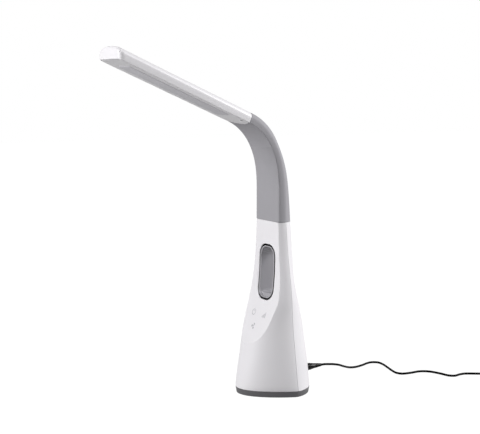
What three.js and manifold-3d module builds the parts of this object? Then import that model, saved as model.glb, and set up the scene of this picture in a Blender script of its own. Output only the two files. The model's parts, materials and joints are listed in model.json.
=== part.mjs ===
// Desk lamp with a bendable neck and a small through-flow fan in its tower.
// Millimetres, +Z up, the front faces -Y, and the origin lies under the middle of the base.

import * as THREE from "three";
import { mergeVertices } from "three/addons/utils/BufferGeometryUtils.js";
import Module from "manifold-3d";

const wasm = await Module();
wasm.setup();

// General sizes
const clearance = 0.3; // gap between pieces that touch
const overrun = 6; // how far a cutting body runs past what it cuts
const arcSteps = 3; // steps of an arc in an outline, each of two segments
const roundSteps = 12; // sides of small round holes and rods
const fullTurn = 2 * Math.PI;

// Tower: an oval foot that narrows in an S to the neck
const towerBottom = 8;
const towerTop = 219;
const footHalfWidth = 50.5;
const footFront = 44.8;
const footRear = 45.7;
const neckHalfWidth = 29;
const neckFront = 16.3;
const neckRear = 19.3;
const footMiddle = 0.5;
const neckMiddle = 1;
const footCrease = 11.3; // where the front and rear shells meet, behind the middle
const neckCrease = 2;
const frontRoundness = 2.3; // exponent of the oval front, 2 is an ellipse
const towerWall = 2.4;
const towerSteps = 17;
const liningSteps = 9; // the same for the inside
const frontSteps = 10;
const rearSteps = 6;
const heightShares = [0, 0.152, 0.275, 0.36, 0.445, 0.531, 0.649, 0.815, 1];
const widthShares = [1, 0.819, 0.67, 0.572, 0.521, 0.502, 0.381, 0.149, 0];
const frontShares = [1, 0.86, 0.747, 0.649, 0.53, 0.361, 0.13, 0.032, 0];
const rearShares = [1, 0.913, 0.769, 0.678, 0.534, 0.33, 0.102, 0.064, 0];
const rearSideShares = [0.87, 0.48]; // first control point of the rear curve, across and back
const rearCrownShare = 0.63; // second control point of the rear curve, across

// Facet: the smooth slide that cuts the front of the tower
const facetFoot = 58;
const facetReach = 36.1; // how far its foot stands in front of the neck's flat
const neckFlat = 7.8; // the neck's flat face, in front of the origin
const facetSteps = 14;
const facetHeightShares = [0, 0.05, 0.112, 0.186, 0.273, 0.385, 0.54, 0.758, 1];
const facetShares = [1, 0.842, 0.643, 0.474, 0.324, 0.141, 0.042, 0.006, 0];

// Air window: a tall opening with round corners, and a slit round its liner
const windowHalfWidth = 19;
const windowBottom = 118.3;
const windowTop = 188.9;
const windowCorner = 15;
const windowRim = 1.5; // chamfer round the opening
const collarDepth = 6;
const collarWall = 1.5;
const slitWidth = 2.2;
const lipSide = 2; // width of the liner's lip at its sides
const lipEnd = 1.3; // the same above and below
const lipDepth = 0.4; // lip behind the facet
const linerWall = 1.5;
const linerNarrowing = 1; // how much narrower the liner is at the rear
const mouthDepth = 3;
const mouthDraft = 0.3;
const mouthCorner = 11.5;
const throatCorner = 3; // corners of the throat's floor
const throatFloor = 8.4; // floor of the throat above the window's foot
const throatRise = 1.4; // how far that floor rises to the rear
const windowCornerSteps = 3;
const windowSideSteps = 4;

// Intake slots in the rear shell, under the fan
const slotCount = 6;
const slotHalfWidth = 22;
const slotHeight = 2.2;
const slotCorner = 1;
const slotPitch = 5;
const slotsBottom = 30;

// Base tray, ballast and foot pad
const padThickness = 1.2;
const padInset = 6;
const trayBottom = 0.8;
const trayTaper = 2.9; // how far the tray draws in at its foot
const trayWall = 2.5;
const trayFloor = 2;
const ballastHalfWidth = 38;
const ballastHalfDepth = 32;
const ballastThickness = 9;
const ballastSteps = 20;

// Screws from the tray into the shells
const bossInset = 6.2;
const bossRadius = 4.4;
const bossHeight = 18;
const screwRadius = 1.4;
const screwHeadRadius = 2.9;
const screwHeadHeight = 1.9;
const screwBite = 15; // how deep the screw goes into its boss
const screwSides = 8;

// Main board on four posts, with its power jack
const boardHeight = 15;
const boardThickness = 1.6;
const boardHalfWidth = 30;
const boardFront = 22;
const boardRear = 30;
const postRadius = 3;
const postInset = 6;
const capacitorRadius = 4;
const capacitorHeight = 11;
const coilBlock = 12; // side of the power inductor
const coilBlockHeight = 7;
const jackHeight = 22.4;
const jackHalfWidth = 5;
const jackLength = 13;
const jackTail = 4; // how far the jack reaches in over the board

// Fan between the intake and the air window
const fanMiddle = 8;
const deckBottom = 60;
const deckThickness = 2;
const ductRadius = 20.2;
const ductWall = 1.4;
const ductHeight = 42;
const ductFlange = 3;
const ductFlangeThickness = 2;
const impellerRise = 4; // impeller above the deck
const impellerHeight = 20;
const impellerTipGap = 0.8;
const hubRadius = 7.5;
const noseRadius = 3;
const hubWall = 1.6;
const bladeCount = 9;
const bladeThickness = 1.2;
const bladeSweep = 0.9; // turn of a blade from its leading to its trailing edge, radians
const bladeLean = 0.35; // turn of a blade from its root to its tip, radians
const bladeMargin = 1.2; // blade edge in from the ends of the hub
const bladeChordSteps = 3;
const bladeSpanSteps = 2;
const turnSides = 24; // sides of the fan and other turned pieces
const shaftRadius = 1.2;
const shaftGap = 0.09; // running clearance of the motor shaft
const motorRadius = 12;
const motorHeight = 17;
const motorBoss = 3;
const spiderFloor = 1.7;
const spiderWall = 1.3;
const spiderHeight = 10;
const spiderGap = 1.2; // impeller to spider
const vaneCount = 5;
const vaneThickness = 1.6;

// Touch board behind the facet
const touchMargin = 10; // between the touch board and the window's collar
const touchLength = 24;
const touchHeight = windowBottom - windowRim - collarWall - touchMargin - touchLength / 2;
const touchHalfWidth = 17;
const touchThickness = 1.2;

// Neck and head, measured along the flat front and under side
const neckStraight = 35.7;
const neckBend = 104.5;
const headTilt = THREE.MathUtils.degToRad(66.5); // lean of the head off the vertical
const bendGrowth = 1.65; // exponent of the bend along its length
const headLength = 189;
const waistHalfWidth = 26.6;
const tipHalfWidth = 31.2;
const neckShoulder = 9.8;
const waistShoulder = 6.5;
const tipShoulder = 7.5;
const headThickness = 14.9;
const neckEdge = 3.1; // how far the flat stays in from the sides at the tower
const headEdge = 0.6;
const neckPlaceShares = [0, 0.193, 0.465, 0.644, 0.787, 1];
const neckThicknessShares = [1, 0.826, 0.463, 0.058, 0, 0];
const neckWidthShares = [1, 0.85, 0.5, 0.25, 0.1, 0];
const headSideShares = [0.97, 0.6];
const headCrownShare = 0.78;
const headFormShares = [0.5, 1.1]; // the neck's section becomes the head's between these places
const sectionCrownSteps = 6;
const sectionEdgeSteps = 2;
const spineSteps = 60;

// Hinges: the neck bends at four places
const hingeShares = [0.185, 0.4, 0.6, 0.8]; // along the neck
const knuckleGap = 0.35;
const knuckleSides = 24;
const gooseneckRadius = 4.5;
const hingeRelief = 1.6; // end of a gooseneck section to its hinge
const slotFlare = THREE.MathUtils.degToRad(21);
const neckStep = 7;

// Socket in the tower and bracket in the head, which hold the gooseneck's ends
const socketHeight = 21;
const socketHalfWidth = 12;
const socketFlange = 4;
const socketFlangeHeight = 4;
const socketRearShare = 0.8; // rear face, as a share of the way from the bore to the wall
const bracketStart = 2.4;
const bracketLength = 17;
const bracketHalfWidth = 20;
const bracketTop = 11.6;

// Head shell and underside
const headWall = 1.8;
const frameThickness = 1.6;
const tipCorner = 6;
const tongueLength = 6;
const tongueHalfWidth = 23;

// Diffuser, reflector and light board
const lensStart = 24;
const lensTipMargin = 20; // lens to the tip of the head
const lensHalfWidth = 16;
const lensCorner = 4;
const lensProud = 1;
const lensRim = 2;
const lensRimThickness = 1;
const reflectorHeight = 5;
const reflectorWall = 1.2;
const reflectorSlant = 5;
const reflectorOverlap = 3; // reflector outside the lens on each side
const lightBoardThickness = 1;
const lightRows = 2;
const lightColumns = 12;
const lightSide = 2.8;
const lightHeight = 0.7;
const lightRowHalfSpacing = 5;

// Screw that holds the underside to the bracket
const headScrewSide = 16;
const headScrewPlace = 6;
const headScrewRadius = 0.9;
const headScrewHeadRadius = 1.6;
const headScrewHeadHeight = 0.8;
const headScrewBite = 6;

// Power plug and cord
const plugRadius = 4.6;
const plugBody = 10.6;
const plugTaper = 10;
const plugMidRadius = 3.25;
const plugRelief = 10.6;
const plugReliefRadius = 1.95;
const barrelRadius = 2.75;
const barrelBore = 1.1;
const barrelLength = 9.5;
const cordRadius = 1.5;
const cordSides = 8;
const cordStep = 8;
const cordLength = 1500;
const cordRoute = [
  [0, 82, 22.3], [-1, 88, 21.4], [-3, 97, 19.6], [-7, 109, 16.2], [-13, 120, 12], [-19, 130, 7.5],
  [-25, 138, 3.6], [-30, 144, 1.8], [-35, 152, 1.6], [-37, 161, 1.6], [-42, 172, 1.6], [-47, 183, 1.6],
  [-47, 193, 1.6], [-41, 199, 1.6], [-31, 199.5, 1.6], [-8, 193, 1.6], [8, 188, 1.6], [20, 186, 1.6],
  [27, 190, 1.6], [29, 202, 1.6], [29, 219, 1.6], [36, 229, 1.6], [52, 235, 1.6], [66, 238, 1.6],
  [71, 244, 1.6], [69, 254, 1.6], [69, 263, 1.6], [79, 280, 1.6], [92, 300, 1.6], [104, 320, 1.6],
];

// Coil of spare cord, and the wall adapter beside it
const coilHeading = THREE.MathUtils.degToRad(59); // heading of the cord where it joins the coil
const coilTurnPitch = 3.7; // from turn to turn and from layer to layer
const coilLayers = 4;
const coilMeanRadius = 15.9;
const coilLoopSteps = 24;
const coilSides = 6;
const coilClimb = 1 / 3; // share of a turn over which the cord climbs to the next layer
const tailLength = 26;
const adapterLength = 60;
const adapterWidth = 38;
const adapterHeight = 28;
const adapterCorner = 5;
const adapterBevel = 2;
const reliefLength = 12;
const reliefRadius = 3;
const bladeLength = 16;
const bladeWidth = 6.3;
const bladeGauge = 1.5;
const bladeSpacing = 12.7;

// Materials
const material = (color, roughness, metalness = 0) => (
  new THREE.MeshStandardMaterial({ color, roughness, metalness })
);
const whiteShell = material(0xeef0f1, 0.42);
const greySleeve = material(0x55575a, 0.62);
const greyTray = material(0x4b4d50, 0.55);
const greyLiner = material(0x77797c, 0.5);
const blackRubber = material(0x1b1b1c, 0.85);
const blackPlastic = material(0x161617, 0.35);
const cordBlack = material(0x131314, 0.45);
const greenBoard = material(0x1d5a3a, 0.6);
const whiteBoard = material(0xdfe2df, 0.5);
const steel = material(0x9a9da1, 0.35, 1);
const castSteel = material(0x6a6c6f, 0.6, 1);
const frostedLens = material(0xc9cbcc, 0.5);
const whiteReflector = material(0xf4f4f2, 0.3);

// Geometry helpers

// A closed mesh as a solid for joins and cuts
function solid(geometry) {
  const bare = new THREE.BufferGeometry();
  bare.setAttribute("position", geometry.getAttribute("position"));
  bare.setIndex(geometry.getIndex());
  const merged = mergeVertices(bare);
  return new wasm.Manifold(new wasm.Mesh({
    numProp: 3,
    vertProperties: merged.getAttribute("position").array,
    triVerts: merged.getIndex().array,
  }));
}

// A solid as a mesh's geometry
function geometryOf(body) {
  const mesh = body.getMesh();
  const geometry = new THREE.BufferGeometry();
  geometry.setAttribute("position", new THREE.BufferAttribute(mesh.vertProperties, mesh.numProp));
  geometry.setIndex(new THREE.BufferAttribute(mesh.triVerts, 1));
  const flat = geometry.toNonIndexed();
  flat.computeVertexNormals();
  return flat;
}

// A smooth curve through values at given places
function smooth(places, values) {
  const curve = new THREE.CubicInterpolant(places, values, 1);
  return (place) => curve.evaluate(place)[0];
}

function mix(from, to, share) {
  return from + (to - from) * share;
}

function range(count, make) {
  return Array.from({ length: count }, (item, index) => make(index));
}

// Skin over rings of points, each with as many points as the next, closed by a fan at both ends
function loft(rings) {
  const count = rings[0].length;
  const points = rings.flat();
  const faces = [];
  rings.slice(1).forEach((ring, level) => {
    range(count, (index) => {
      const next = (index + 1) % count;
      const low = level * count;
      const high = low + count;
      faces.push(low + index, low + next, high + next);
      faces.push(low + index, high + next, high + index);
    });
  });
  const closeEnd = (ring, start, flip) => {
    const middle = new THREE.Vector3();
    ring.forEach((point) => middle.addScaledVector(point, 1 / count));
    const hub = points.push(middle) - 1;
    range(count, (index) => {
      const next = (index + 1) % count;
      faces.push(hub, start + (flip ? next : index), start + (flip ? index : next));
    });
  };
  closeEnd(rings[0], 0, true);
  closeEnd(rings.at(-1), (rings.length - 1) * count, false);
  const geometry = new THREE.BufferGeometry().setFromPoints(points);
  geometry.setIndex(faces);
  return geometry;
}

// A prism of a flat outline: along x the outline lies in (y, z), along y in (x, z), along z in (x, y)
const axes = [new THREE.Vector3(1, 0, 0), new THREE.Vector3(0, 1, 0), new THREE.Vector3(0, 0, 1)];
const prismTurns = {
  x: new THREE.Matrix4().makeBasis(axes[1], axes[2], axes[0]),
  y: new THREE.Matrix4().makeBasis(axes[0], axes[2], axes[1].clone().negate()),
  z: new THREE.Matrix4(),
};
function shapeOf(points) {
  return new THREE.Shape(points.map(([a, b]) => new THREE.Vector2(a, b)));
}

function prism(axis, outline, from, to) {
  const shape = outline instanceof THREE.Shape ? outline : shapeOf(outline);
  const settings = { depth: to - from, bevelEnabled: false, curveSegments: arcSteps };
  const geometry = new THREE.ExtrudeGeometry(shape, settings);
  geometry.translate(0, 0, axis === "y" ? -to : from);
  return solid(geometry.applyMatrix4(prismTurns[axis]));
}

function box(left, right, front, rear, low, high) {
  return prism("z", [[left, front], [right, front], [right, rear], [left, rear]], low, high);
}

// A turned piece about the z axis, from (radius, height) pairs that start and end on the axis
function turned(profile, sides) {
  const outline = profile.map(([radius, height]) => new THREE.Vector2(radius, height));
  return solid(new THREE.LatheGeometry(outline, sides).rotateX(Math.PI / 2));
}

function drum(radius, low, high, sides) {
  return turned([[0, low], [radius, low], [radius, high], [0, high]], sides);
}

function drumAt(radius, low, high, sides, x, y) {
  return drum(radius, low, high, sides).translate([x, y, 0]);
}

// A rectangle with round corners
function roundedRectangle(left, right, low, high, corner) {
  const shape = new THREE.Shape();
  shape.absarc(right - corner, low + corner, corner, -Math.PI / 2, 0);
  shape.absarc(right - corner, high - corner, corner, 0, Math.PI / 2);
  shape.absarc(left + corner, high - corner, corner, Math.PI / 2, Math.PI);
  shape.absarc(left + corner, low + corner, corner, Math.PI, Math.PI * 3 / 2);
  return shape;
}

// An ellipse as a list of points
function ellipse(halfWidth, halfDepth, steps) {
  return range(steps, (index) => {
    const angle = fullTurn * index / steps;
    return [halfWidth * Math.cos(angle), halfDepth * Math.sin(angle)];
  });
}

function circle(radius, x, y) {
  return ellipse(radius, radius, roundSteps).map(([across, rise]) => [x + across, y + rise]);
}

function mirrored(points) {
  return points.map(([x, y]) => [-x, y]).reverse();
}

// Half of a section's rear: one cubic curve from the crease over the crown to the middle
function crownCurve(halfWidth, crease, crown, sideShares, crownShare, steps) {
  const curve = new THREE.CubicBezierCurve(
    new THREE.Vector2(halfWidth, crease),
    new THREE.Vector2(halfWidth * sideShares[0], mix(crease, crown, sideShares[1])),
    new THREE.Vector2(halfWidth * crownShare, crown),
    new THREE.Vector2(0, crown),
  );
  return curve.getPoints(steps).map((point) => [point.x, point.y]);
}

// Tower

const widthAt = smooth(heightShares, widthShares);
const frontAt = smooth(heightShares, frontShares);
const rearAt = smooth(heightShares, rearShares);
const facetCurve = smooth(facetHeightShares, facetShares);

function towerShare(height) {
  return (height - towerBottom) / (towerTop - towerBottom);
}

function rearDepth(height) {
  return mix(neckRear, footRear, rearAt(towerShare(height)));
}

function creaseAt(height) {
  return mix(footCrease, neckCrease, towerShare(height));
}

// Face of the facet at a height
function facetAt(height) {
  return -(neckFlat + facetReach * facetCurve((height - facetFoot) / (towerTop - facetFoot)));
}

// The tower's oval section at one height, drawn in by a wall, as points from the right crease
// round the rear and back round the front
function towerSection(height, inset) {
  const share = towerShare(height);
  const halfWidth = mix(neckHalfWidth, footHalfWidth, widthAt(share)) - inset;
  const depth = mix(neckFront, footFront, frontAt(share)) - inset;
  const middle = mix(footMiddle, neckMiddle, share);
  const crease = creaseAt(height);
  const power = 2 / frontRoundness;
  const start = -Math.asin(((crease - middle) / depth) ** (1 / power));
  const oval = (angle) => [
    halfWidth * Math.cos(angle) ** power,
    middle - depth * Math.sign(angle) * Math.abs(Math.sin(angle)) ** power,
  ];
  const front = range(frontSteps, (index) => oval(mix(start, Math.PI / 2, index / frontSteps)));
  const creaseHalfWidth = front[0][0];
  const rear = crownCurve(
    creaseHalfWidth, crease, rearDepth(height) - inset, rearSideShares, rearCrownShare, rearSteps,
  );
  return [...rear, ...mirrored(rear).slice(1), ...frontLoop(front, middle - depth)];
}

// The front of a section as points from the left crease to the right one, both left out
function frontLoop(front, tip) {
  const left = front.slice(1).map(([x, y]) => [-x, y]);
  const right = front.slice(1).reverse();
  return [...left, [0, tip], ...right];
}

function ringAt(section, height) {
  return section.map(([x, y]) => new THREE.Vector3(x, y, height));
}

// Everything in front of the facet, which the tower lacks
function frontOfFacet(inset) {
  const far = -footFront - overrun - facetReach;
  const top = towerTop + overrun;
  const line = range(facetSteps + 1, (index) => {
    const height = mix(facetFoot, towerTop, index / facetSteps);
    return [facetAt(height) + inset, height];
  });
  return prism("x", [[far, facetFoot], ...line, [line.at(-1)[0], top], [far, top]],
    -footHalfWidth - overrun, footHalfWidth + overrun);
}

// The tower's form between two heights, drawn in by a wall
function towerForm(inset, low, high, steps) {
  const rings = range(steps + 1, (index) => {
    const height = mix(low, high, index / steps);
    return ringAt(towerSection(height, inset), height);
  });
  return solid(loft(rings)).subtract(frontOfFacet(inset));
}

// Everything behind the parting line of the two shells
function behindParting(offset) {
  const low = towerBottom - overrun;
  const high = towerTop + overrun;
  const far = footRear + overrun;
  const outline = [[creaseAt(low) + offset, low], [far, low], [far, high], [creaseAt(high) + offset, high]];
  return prism("x", outline, -footHalfWidth - overrun, footHalfWidth + overrun);
}

// Air window

// An outline with round corners, drawn in from the window's sides, top and bottom
function windowOutline(side, top, bottom, corner, footCorner = corner) {
  const halfWidth = windowHalfWidth - side;
  const high = windowTop - top - corner;
  const low = windowBottom + bottom + footCorner;
  const corners = [
    [halfWidth - corner, high, corner], [corner - halfWidth, high, corner],
    [footCorner - halfWidth, low, footCorner], [halfWidth - footCorner, low, footCorner],
  ];
  const arcs = corners.map(([x, z, radius], quarter) => range(windowCornerSteps + 1, (index) => {
    const angle = (quarter + index / windowCornerSteps) * Math.PI / 2;
    return [x + radius * Math.cos(angle), z + radius * Math.sin(angle)];
  }));
  const levels = range(windowSideSteps - 1, (index) => mix(high, low, (index + 1) / windowSideSteps));
  const leftSide = levels.map((z) => [-halfWidth, z]);
  const rightSide = levels.toReversed().map((z) => [halfWidth, z]);
  return [...arcs[0], ...arcs[1], ...leftSide, ...arcs[2], ...arcs[3], ...rightSide];
}

function behindFacet(depth) {
  return (height) => facetAt(height) + depth;
}

function fixedDepth(depth) {
  return () => depth;
}

// A tube of window outlines from front to rear, from pairs of outline and depth
function windowBody(stations) {
  const rings = stations.map(([outline, depthAt]) => (
    outline.map(([x, z]) => new THREE.Vector3(x, depthAt(z), z)).reverse()
  ));
  return solid(loft(rings));
}

// An outline drawn in by one amount all round
function windowInset(inset) {
  return windowOutline(inset, inset, inset, windowCorner - inset);
}

const rearInset = slitWidth + linerNarrowing;
const rearReach = footRear + overrun;

function windowHole() {
  return windowBody([
    [windowInset(-windowRim), behindFacet(-overrun)], [windowInset(-windowRim), behindFacet(0)],
    [windowInset(0), behindFacet(windowRim)], [windowInset(0), behindFacet(collarDepth + overrun)],
  ]);
}

function collar() {
  const outline = windowInset(-windowRim - collarWall);
  return windowBody([[outline, behindFacet(clearance)], [outline, behindFacet(collarDepth)]])
    .subtract(windowHole());
}

function rearWindowHole() {
  const outline = windowInset(rearInset - clearance);
  return windowBody([[outline, fixedDepth(0)], [outline, fixedDepth(rearReach)]]);
}

// The liner: a lip inside the slit, a mouth, and a throat with a flat floor that opens to the rear
function makeLiner() {
  const mouthSide = slitWidth + lipSide;
  const mouthEnd = slitWidth + lipEnd;
  const throatSide = mouthSide + mouthDraft;
  const throatTop = mouthEnd + mouthDraft;
  const rearWall = rearInset + linerWall;
  const outer = windowBody([
    [windowInset(slitWidth), behindFacet(lipDepth)],
    [windowInset(slitWidth), behindFacet(mouthDepth)],
    [windowInset(rearInset), fixedDepth(rearDepth(windowTop) - towerWall - overrun)],
    [windowInset(rearInset), fixedDepth(rearReach)],
  ]);
  const inner = windowBody([
    [windowOutline(mouthSide, mouthEnd, mouthEnd, mouthCorner), behindFacet(-overrun)],
    [windowOutline(throatSide, throatTop, throatTop, mouthCorner), behindFacet(mouthDepth)],
    [windowOutline(throatSide, throatTop, throatFloor, mouthCorner, throatCorner), behindFacet(mouthDepth)],
    [windowOutline(rearWall, rearWall, throatFloor + throatRise, windowCorner - rearWall, throatCorner),
      fixedDepth(rearReach)],
  ]);
  return outer.subtract(inner).intersect(towerForm(0, towerBottom, towerTop, towerSteps));
}

// Shells

const shellBottom = towerBottom + clearance;
const footSection = towerSection(towerBottom, bossInset);
const screwPlaces = [Math.round(rearSteps / 2), rearSteps * 2 + Math.round(frontSteps / 2) + 1]
  .map((index) => footSection[index])
  .flatMap(([x, y]) => [[x, y], [-x, y]]);

function bosses() {
  const pillars = screwPlaces.map(([x, y]) => (
    drumAt(bossRadius, shellBottom, shellBottom + bossHeight, screwSides, x, y)
  ));
  return wasm.Manifold.union(pillars);
}

function screwHoles(radius, low, high) {
  return wasm.Manifold.union(screwPlaces.map(([x, y]) => drumAt(radius, low, high, screwSides, x, y)));
}

const spineMiddle = (neckRear - neckFlat) / 2; // where the gooseneck leaves the tower

function intakeSlots() {
  const slots = range(slotCount, (index) => {
    const low = slotsBottom + slotPitch * index;
    const shape = roundedRectangle(-slotHalfWidth, slotHalfWidth, low, low + slotHeight, slotCorner);
    return prism("y", shape, footCrease, rearReach);
  });
  return wasm.Manifold.union(slots);
}

function jackHole() {
  return prism("y", circle(barrelRadius + clearance, 0, jackHeight), footCrease, rearReach);
}

// Both shells in one piece, before they are parted
function makeShells() {
  const outer = towerForm(0, shellBottom, towerTop, towerSteps);
  const inner = towerForm(towerWall, towerBottom - overrun, towerTop - towerWall, liningSteps);
  return outer.subtract(inner)
    .add(bosses().intersect(outer))
    .subtract(screwHoles(screwRadius + clearance, towerBottom, shellBottom + screwBite + clearance))
    .subtract(windowHole().subtract(behindParting(0)))
    .add(collar())
    .subtract(rearWindowHole().intersect(behindParting(0)))
    .subtract(intakeSlots())
    .subtract(jackHole())
    .subtract(drumAt(gooseneckRadius + clearance, towerTop - overrun, towerTop + overrun,
      roundSteps, 0, spineMiddle));
}

// Base

const trayTop = towerBottom;
const trayInside = padThickness + clearance + trayFloor;

function plateForm(stations) {
  return solid(loft(stations.map(([inset, height]) => ringAt(towerSection(towerBottom, inset), height))));
}

const postPlaces = [
  [boardHalfWidth - postInset, boardRear - postInset], [boardHalfWidth - postInset, postInset - boardFront],
].flatMap(([x, y]) => [[x, y], [-x, y]]);

function posts(radius, low, high) {
  return wasm.Manifold.union(postPlaces.map(([x, y]) => drumAt(radius, low, high, screwSides, x, y)));
}

function makeTray() {
  const headTop = padThickness + clearance * 2 + screwHeadHeight + clearance;
  return plateForm([[trayTaper, trayBottom], [0, trayTop]])
    .subtract(plateForm([[trayTaper + trayWall, trayInside], [trayWall, trayTop + overrun]]))
    .subtract(plateForm([[padInset - clearance, -overrun], [padInset - clearance, padThickness + clearance]]))
    .add(screwHoles(bossRadius, trayInside - trayFloor, trayTop).intersect(
      plateForm([[trayTaper, trayBottom], [0, trayTop]])))
    .add(posts(postRadius, trayInside - trayFloor, boardHeight - clearance))
    .subtract(screwHoles(screwHeadRadius + clearance, 0, headTop))
    .subtract(screwHoles(screwRadius + clearance, 0, trayTop + overrun));
}

function makePad() {
  return plateForm([[padInset, 0], [padInset, padThickness]]);
}

function makeBallast() {
  const low = trayInside + clearance;
  return prism("z", ellipse(ballastHalfWidth, ballastHalfDepth, ballastSteps), low, low + ballastThickness)
    .subtract(posts(postRadius + clearance, 0, low + ballastThickness + overrun));
}

function makeBaseScrew([x, y]) {
  const low = padThickness + clearance * 2;
  const shoulder = low + screwHeadHeight;
  return drumAt(screwHeadRadius, low, shoulder, screwSides, x, y)
    .add(drumAt(screwRadius, shoulder - clearance, shellBottom + screwBite, screwSides, x, y));
}

function makeBoard() {
  const top = boardHeight + boardThickness;
  const base = top - clearance;
  const plate = box(-boardHalfWidth, boardHalfWidth, -boardFront, boardRear, boardHeight, top);
  const capacitors = range(2, (index) => (
    drumAt(capacitorRadius, base, top + capacitorHeight, screwSides,
      boardHalfWidth / 2, (index * 2 - 1) * (capacitorRadius + clearance))
  ));
  const inductor = box(-boardHalfWidth / 2 - coilBlock, -boardHalfWidth / 2,
    -coilBlock / 2, coilBlock / 2, base, top + coilBlockHeight);
  const notches = screwHoles(bossRadius + clearance, 0, deckBottom);
  return wasm.Manifold.union([plate.subtract(notches), inductor, ...capacitors]);
}

const jackFace = rearDepth(jackHeight + jackHalfWidth) - towerWall - clearance;

function makeJack() {
  const low = boardHeight + boardThickness + clearance;
  const top = jackHeight + jackHalfWidth;
  const front = Math.min(jackFace - jackLength, boardRear - jackTail);
  const depth = rearDepth(jackHeight) - barrelLength - clearance;
  return box(-jackHalfWidth, jackHalfWidth, front, jackFace - clearance, low, top)
    .subtract(prism("y", circle(barrelRadius + clearance, 0, jackHeight), depth, rearReach));
}

// Fan, about the fan's own axis

const deckTop = deckBottom + deckThickness;
const ductBottom = deckTop + clearance;
const ductInside = ductRadius - ductWall;
const impellerLow = deckTop + impellerRise;
const impellerTop = impellerLow + impellerHeight;
const impellerRadius = ductInside - impellerTipGap;
const spiderLow = impellerTop + spiderGap;
const motorLow = spiderLow + spiderFloor + clearance;

function makeDeck() {
  return towerForm(towerWall + clearance, deckBottom - overrun, deckTop + overrun, 2)
    .intersect(box(-footHalfWidth, footHalfWidth, -footFront, footRear, deckBottom, deckTop))
    .subtract(drumAt(ductInside, 0, towerTop, turnSides, 0, fanMiddle));
}

// The duct: a tube on a flange, with a cup for the motor on curved vanes
function makeDuct() {
  const top = ductBottom + ductHeight;
  const cupRadius = motorRadius + clearance + spiderWall;
  const tube = drum(ductRadius, ductBottom, top, turnSides)
    .add(drum(ductRadius + ductFlange, ductBottom, ductBottom + ductFlangeThickness, turnSides))
    .subtract(drum(ductInside, 0, towerTop, turnSides));
  const vane = box(cupRadius - spiderWall / 2, ductInside + ductWall / 2,
    -vaneThickness / 2, vaneThickness / 2, spiderLow, spiderLow + spiderHeight);
  const vanes = range(vaneCount, (index) => vane.rotate([0, 0, 360 * index / vaneCount]));
  const cup = drum(cupRadius, spiderLow, spiderLow + spiderHeight, turnSides)
    .subtract(drum(motorRadius + clearance, spiderLow + spiderFloor, towerTop, turnSides))
    .subtract(drum(motorBoss + clearance, 0, towerTop, screwSides));
  return wasm.Manifold.union([tube, cup, ...vanes]);
}

function makeMotor() {
  return drum(motorRadius, motorLow, motorLow + motorHeight, turnSides)
    .add(drum(motorBoss, motorLow - spiderFloor, motorLow + clearance, screwSides))
    .subtract(drum(shaftRadius + shaftGap, 0, motorLow + motorHeight / 2, screwSides));
}

function makeShaft() {
  return drum(shaftRadius, impellerLow + impellerHeight / 2, motorLow + motorHeight / 2 - clearance, screwSides);
}

// One blade as a skin over thin curved sections from the hub to the tip
function bladeForm() {
  const low = impellerLow + bladeMargin;
  const high = impellerTop - bladeMargin;
  const rings = range(bladeSpanSteps + 1, (station) => {
    const share = station / bladeSpanSteps;
    const radius = mix(noseRadius, impellerRadius, share);
    const side = (offset) => range(bladeChordSteps + 1, (index) => {
      const chord = index / bladeChordSteps;
      const angle = bladeSweep * (chord ** 1.4) + bladeLean * share + offset / radius;
      return new THREE.Vector3(radius * Math.cos(angle), radius * Math.sin(angle), mix(low, high, chord));
    });
    return [...side(-bladeThickness / 2), ...side(bladeThickness / 2).reverse()];
  });
  return solid(loft(rings.map((ring) => ring.reverse())));
}

function makeImpeller() {
  const nose = impellerLow;
  const hub = turned([
    [0, nose], [noseRadius, nose], [hubRadius * 0.8, nose + hubRadius / 3],
    [hubRadius, nose + hubRadius], [hubRadius, impellerTop], [0, impellerTop],
  ], turnSides);
  const hollow = drum(hubRadius - hubWall, impellerTop - impellerHeight / 3, towerTop, turnSides);
  const blade = bladeForm();
  const blades = range(bladeCount, (index) => blade.rotate([0, 0, 360 * index / bladeCount]));
  return wasm.Manifold.union([hub, ...blades])
    .subtract(hollow.subtract(drum(shaftRadius + hubWall, 0, impellerTop, screwSides)))
    .subtract(drum(shaftRadius + clearance, impellerLow + impellerHeight / 2 - clearance, towerTop, screwSides));
}

// Touch board, flat against the back of the facet
function makeTouchBoard() {
  const low = touchHeight - touchLength / 2;
  const high = touchHeight + touchLength / 2;
  const slope = (facetAt(high) - facetAt(low)) / touchLength;
  const run = Math.hypot(1, slope);
  const face = facetAt(touchHeight) + towerWall + clearance;
  const back = face + touchThickness * run;
  const lean = slope * touchLength / 2;
  const outline = [[face - lean, low], [back - lean, low], [back + lean, high], [face + lean, high]];
  return prism("x", outline, -touchHalfWidth, touchHalfWidth);
}

// Arm: neck and head share one spine, and sections that change along it

const neckLength = neckStraight + neckBend;
const hingePlaces = hingeShares.map((share) => share * neckLength);
const lensLength = headLength - lensStart - lensTipMargin;
const neckDepth = neckRear + neckFlat;
const thicknessCurve = smooth(neckPlaceShares, neckThicknessShares);
const narrowing = smooth(neckPlaceShares, neckWidthShares);

function tiltAt(place) {
  const share = THREE.MathUtils.clamp((place - neckStraight) / neckBend, 0, 1);
  return headTilt * share ** bendGrowth;
}

// Place on the spine as a frame: x across, y towards the crown, z along the arm
function frameAt(place) {
  const spot = new THREE.Vector3(0, -neckFlat, towerTop);
  const step = place / spineSteps;
  range(spineSteps, (index) => {
    const tilt = tiltAt(step * (index + 0.5));
    spot.y -= Math.sin(tilt) * step;
    spot.z += Math.cos(tilt) * step;
  });
  return new THREE.Matrix4().makeRotationX(tiltAt(place)).setPosition(spot);
}

// 0 to 1 along the neck, then 1 to 2 along the head
function armShare(place) {
  return place < neckLength ? place / neckLength : 1 + (place - neckLength) / headLength;
}

function thicknessAt(place) {
  const share = THREE.MathUtils.clamp(armShare(place), 0, 1);
  return mix(headThickness, neckDepth, thicknessCurve(share));
}

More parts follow.
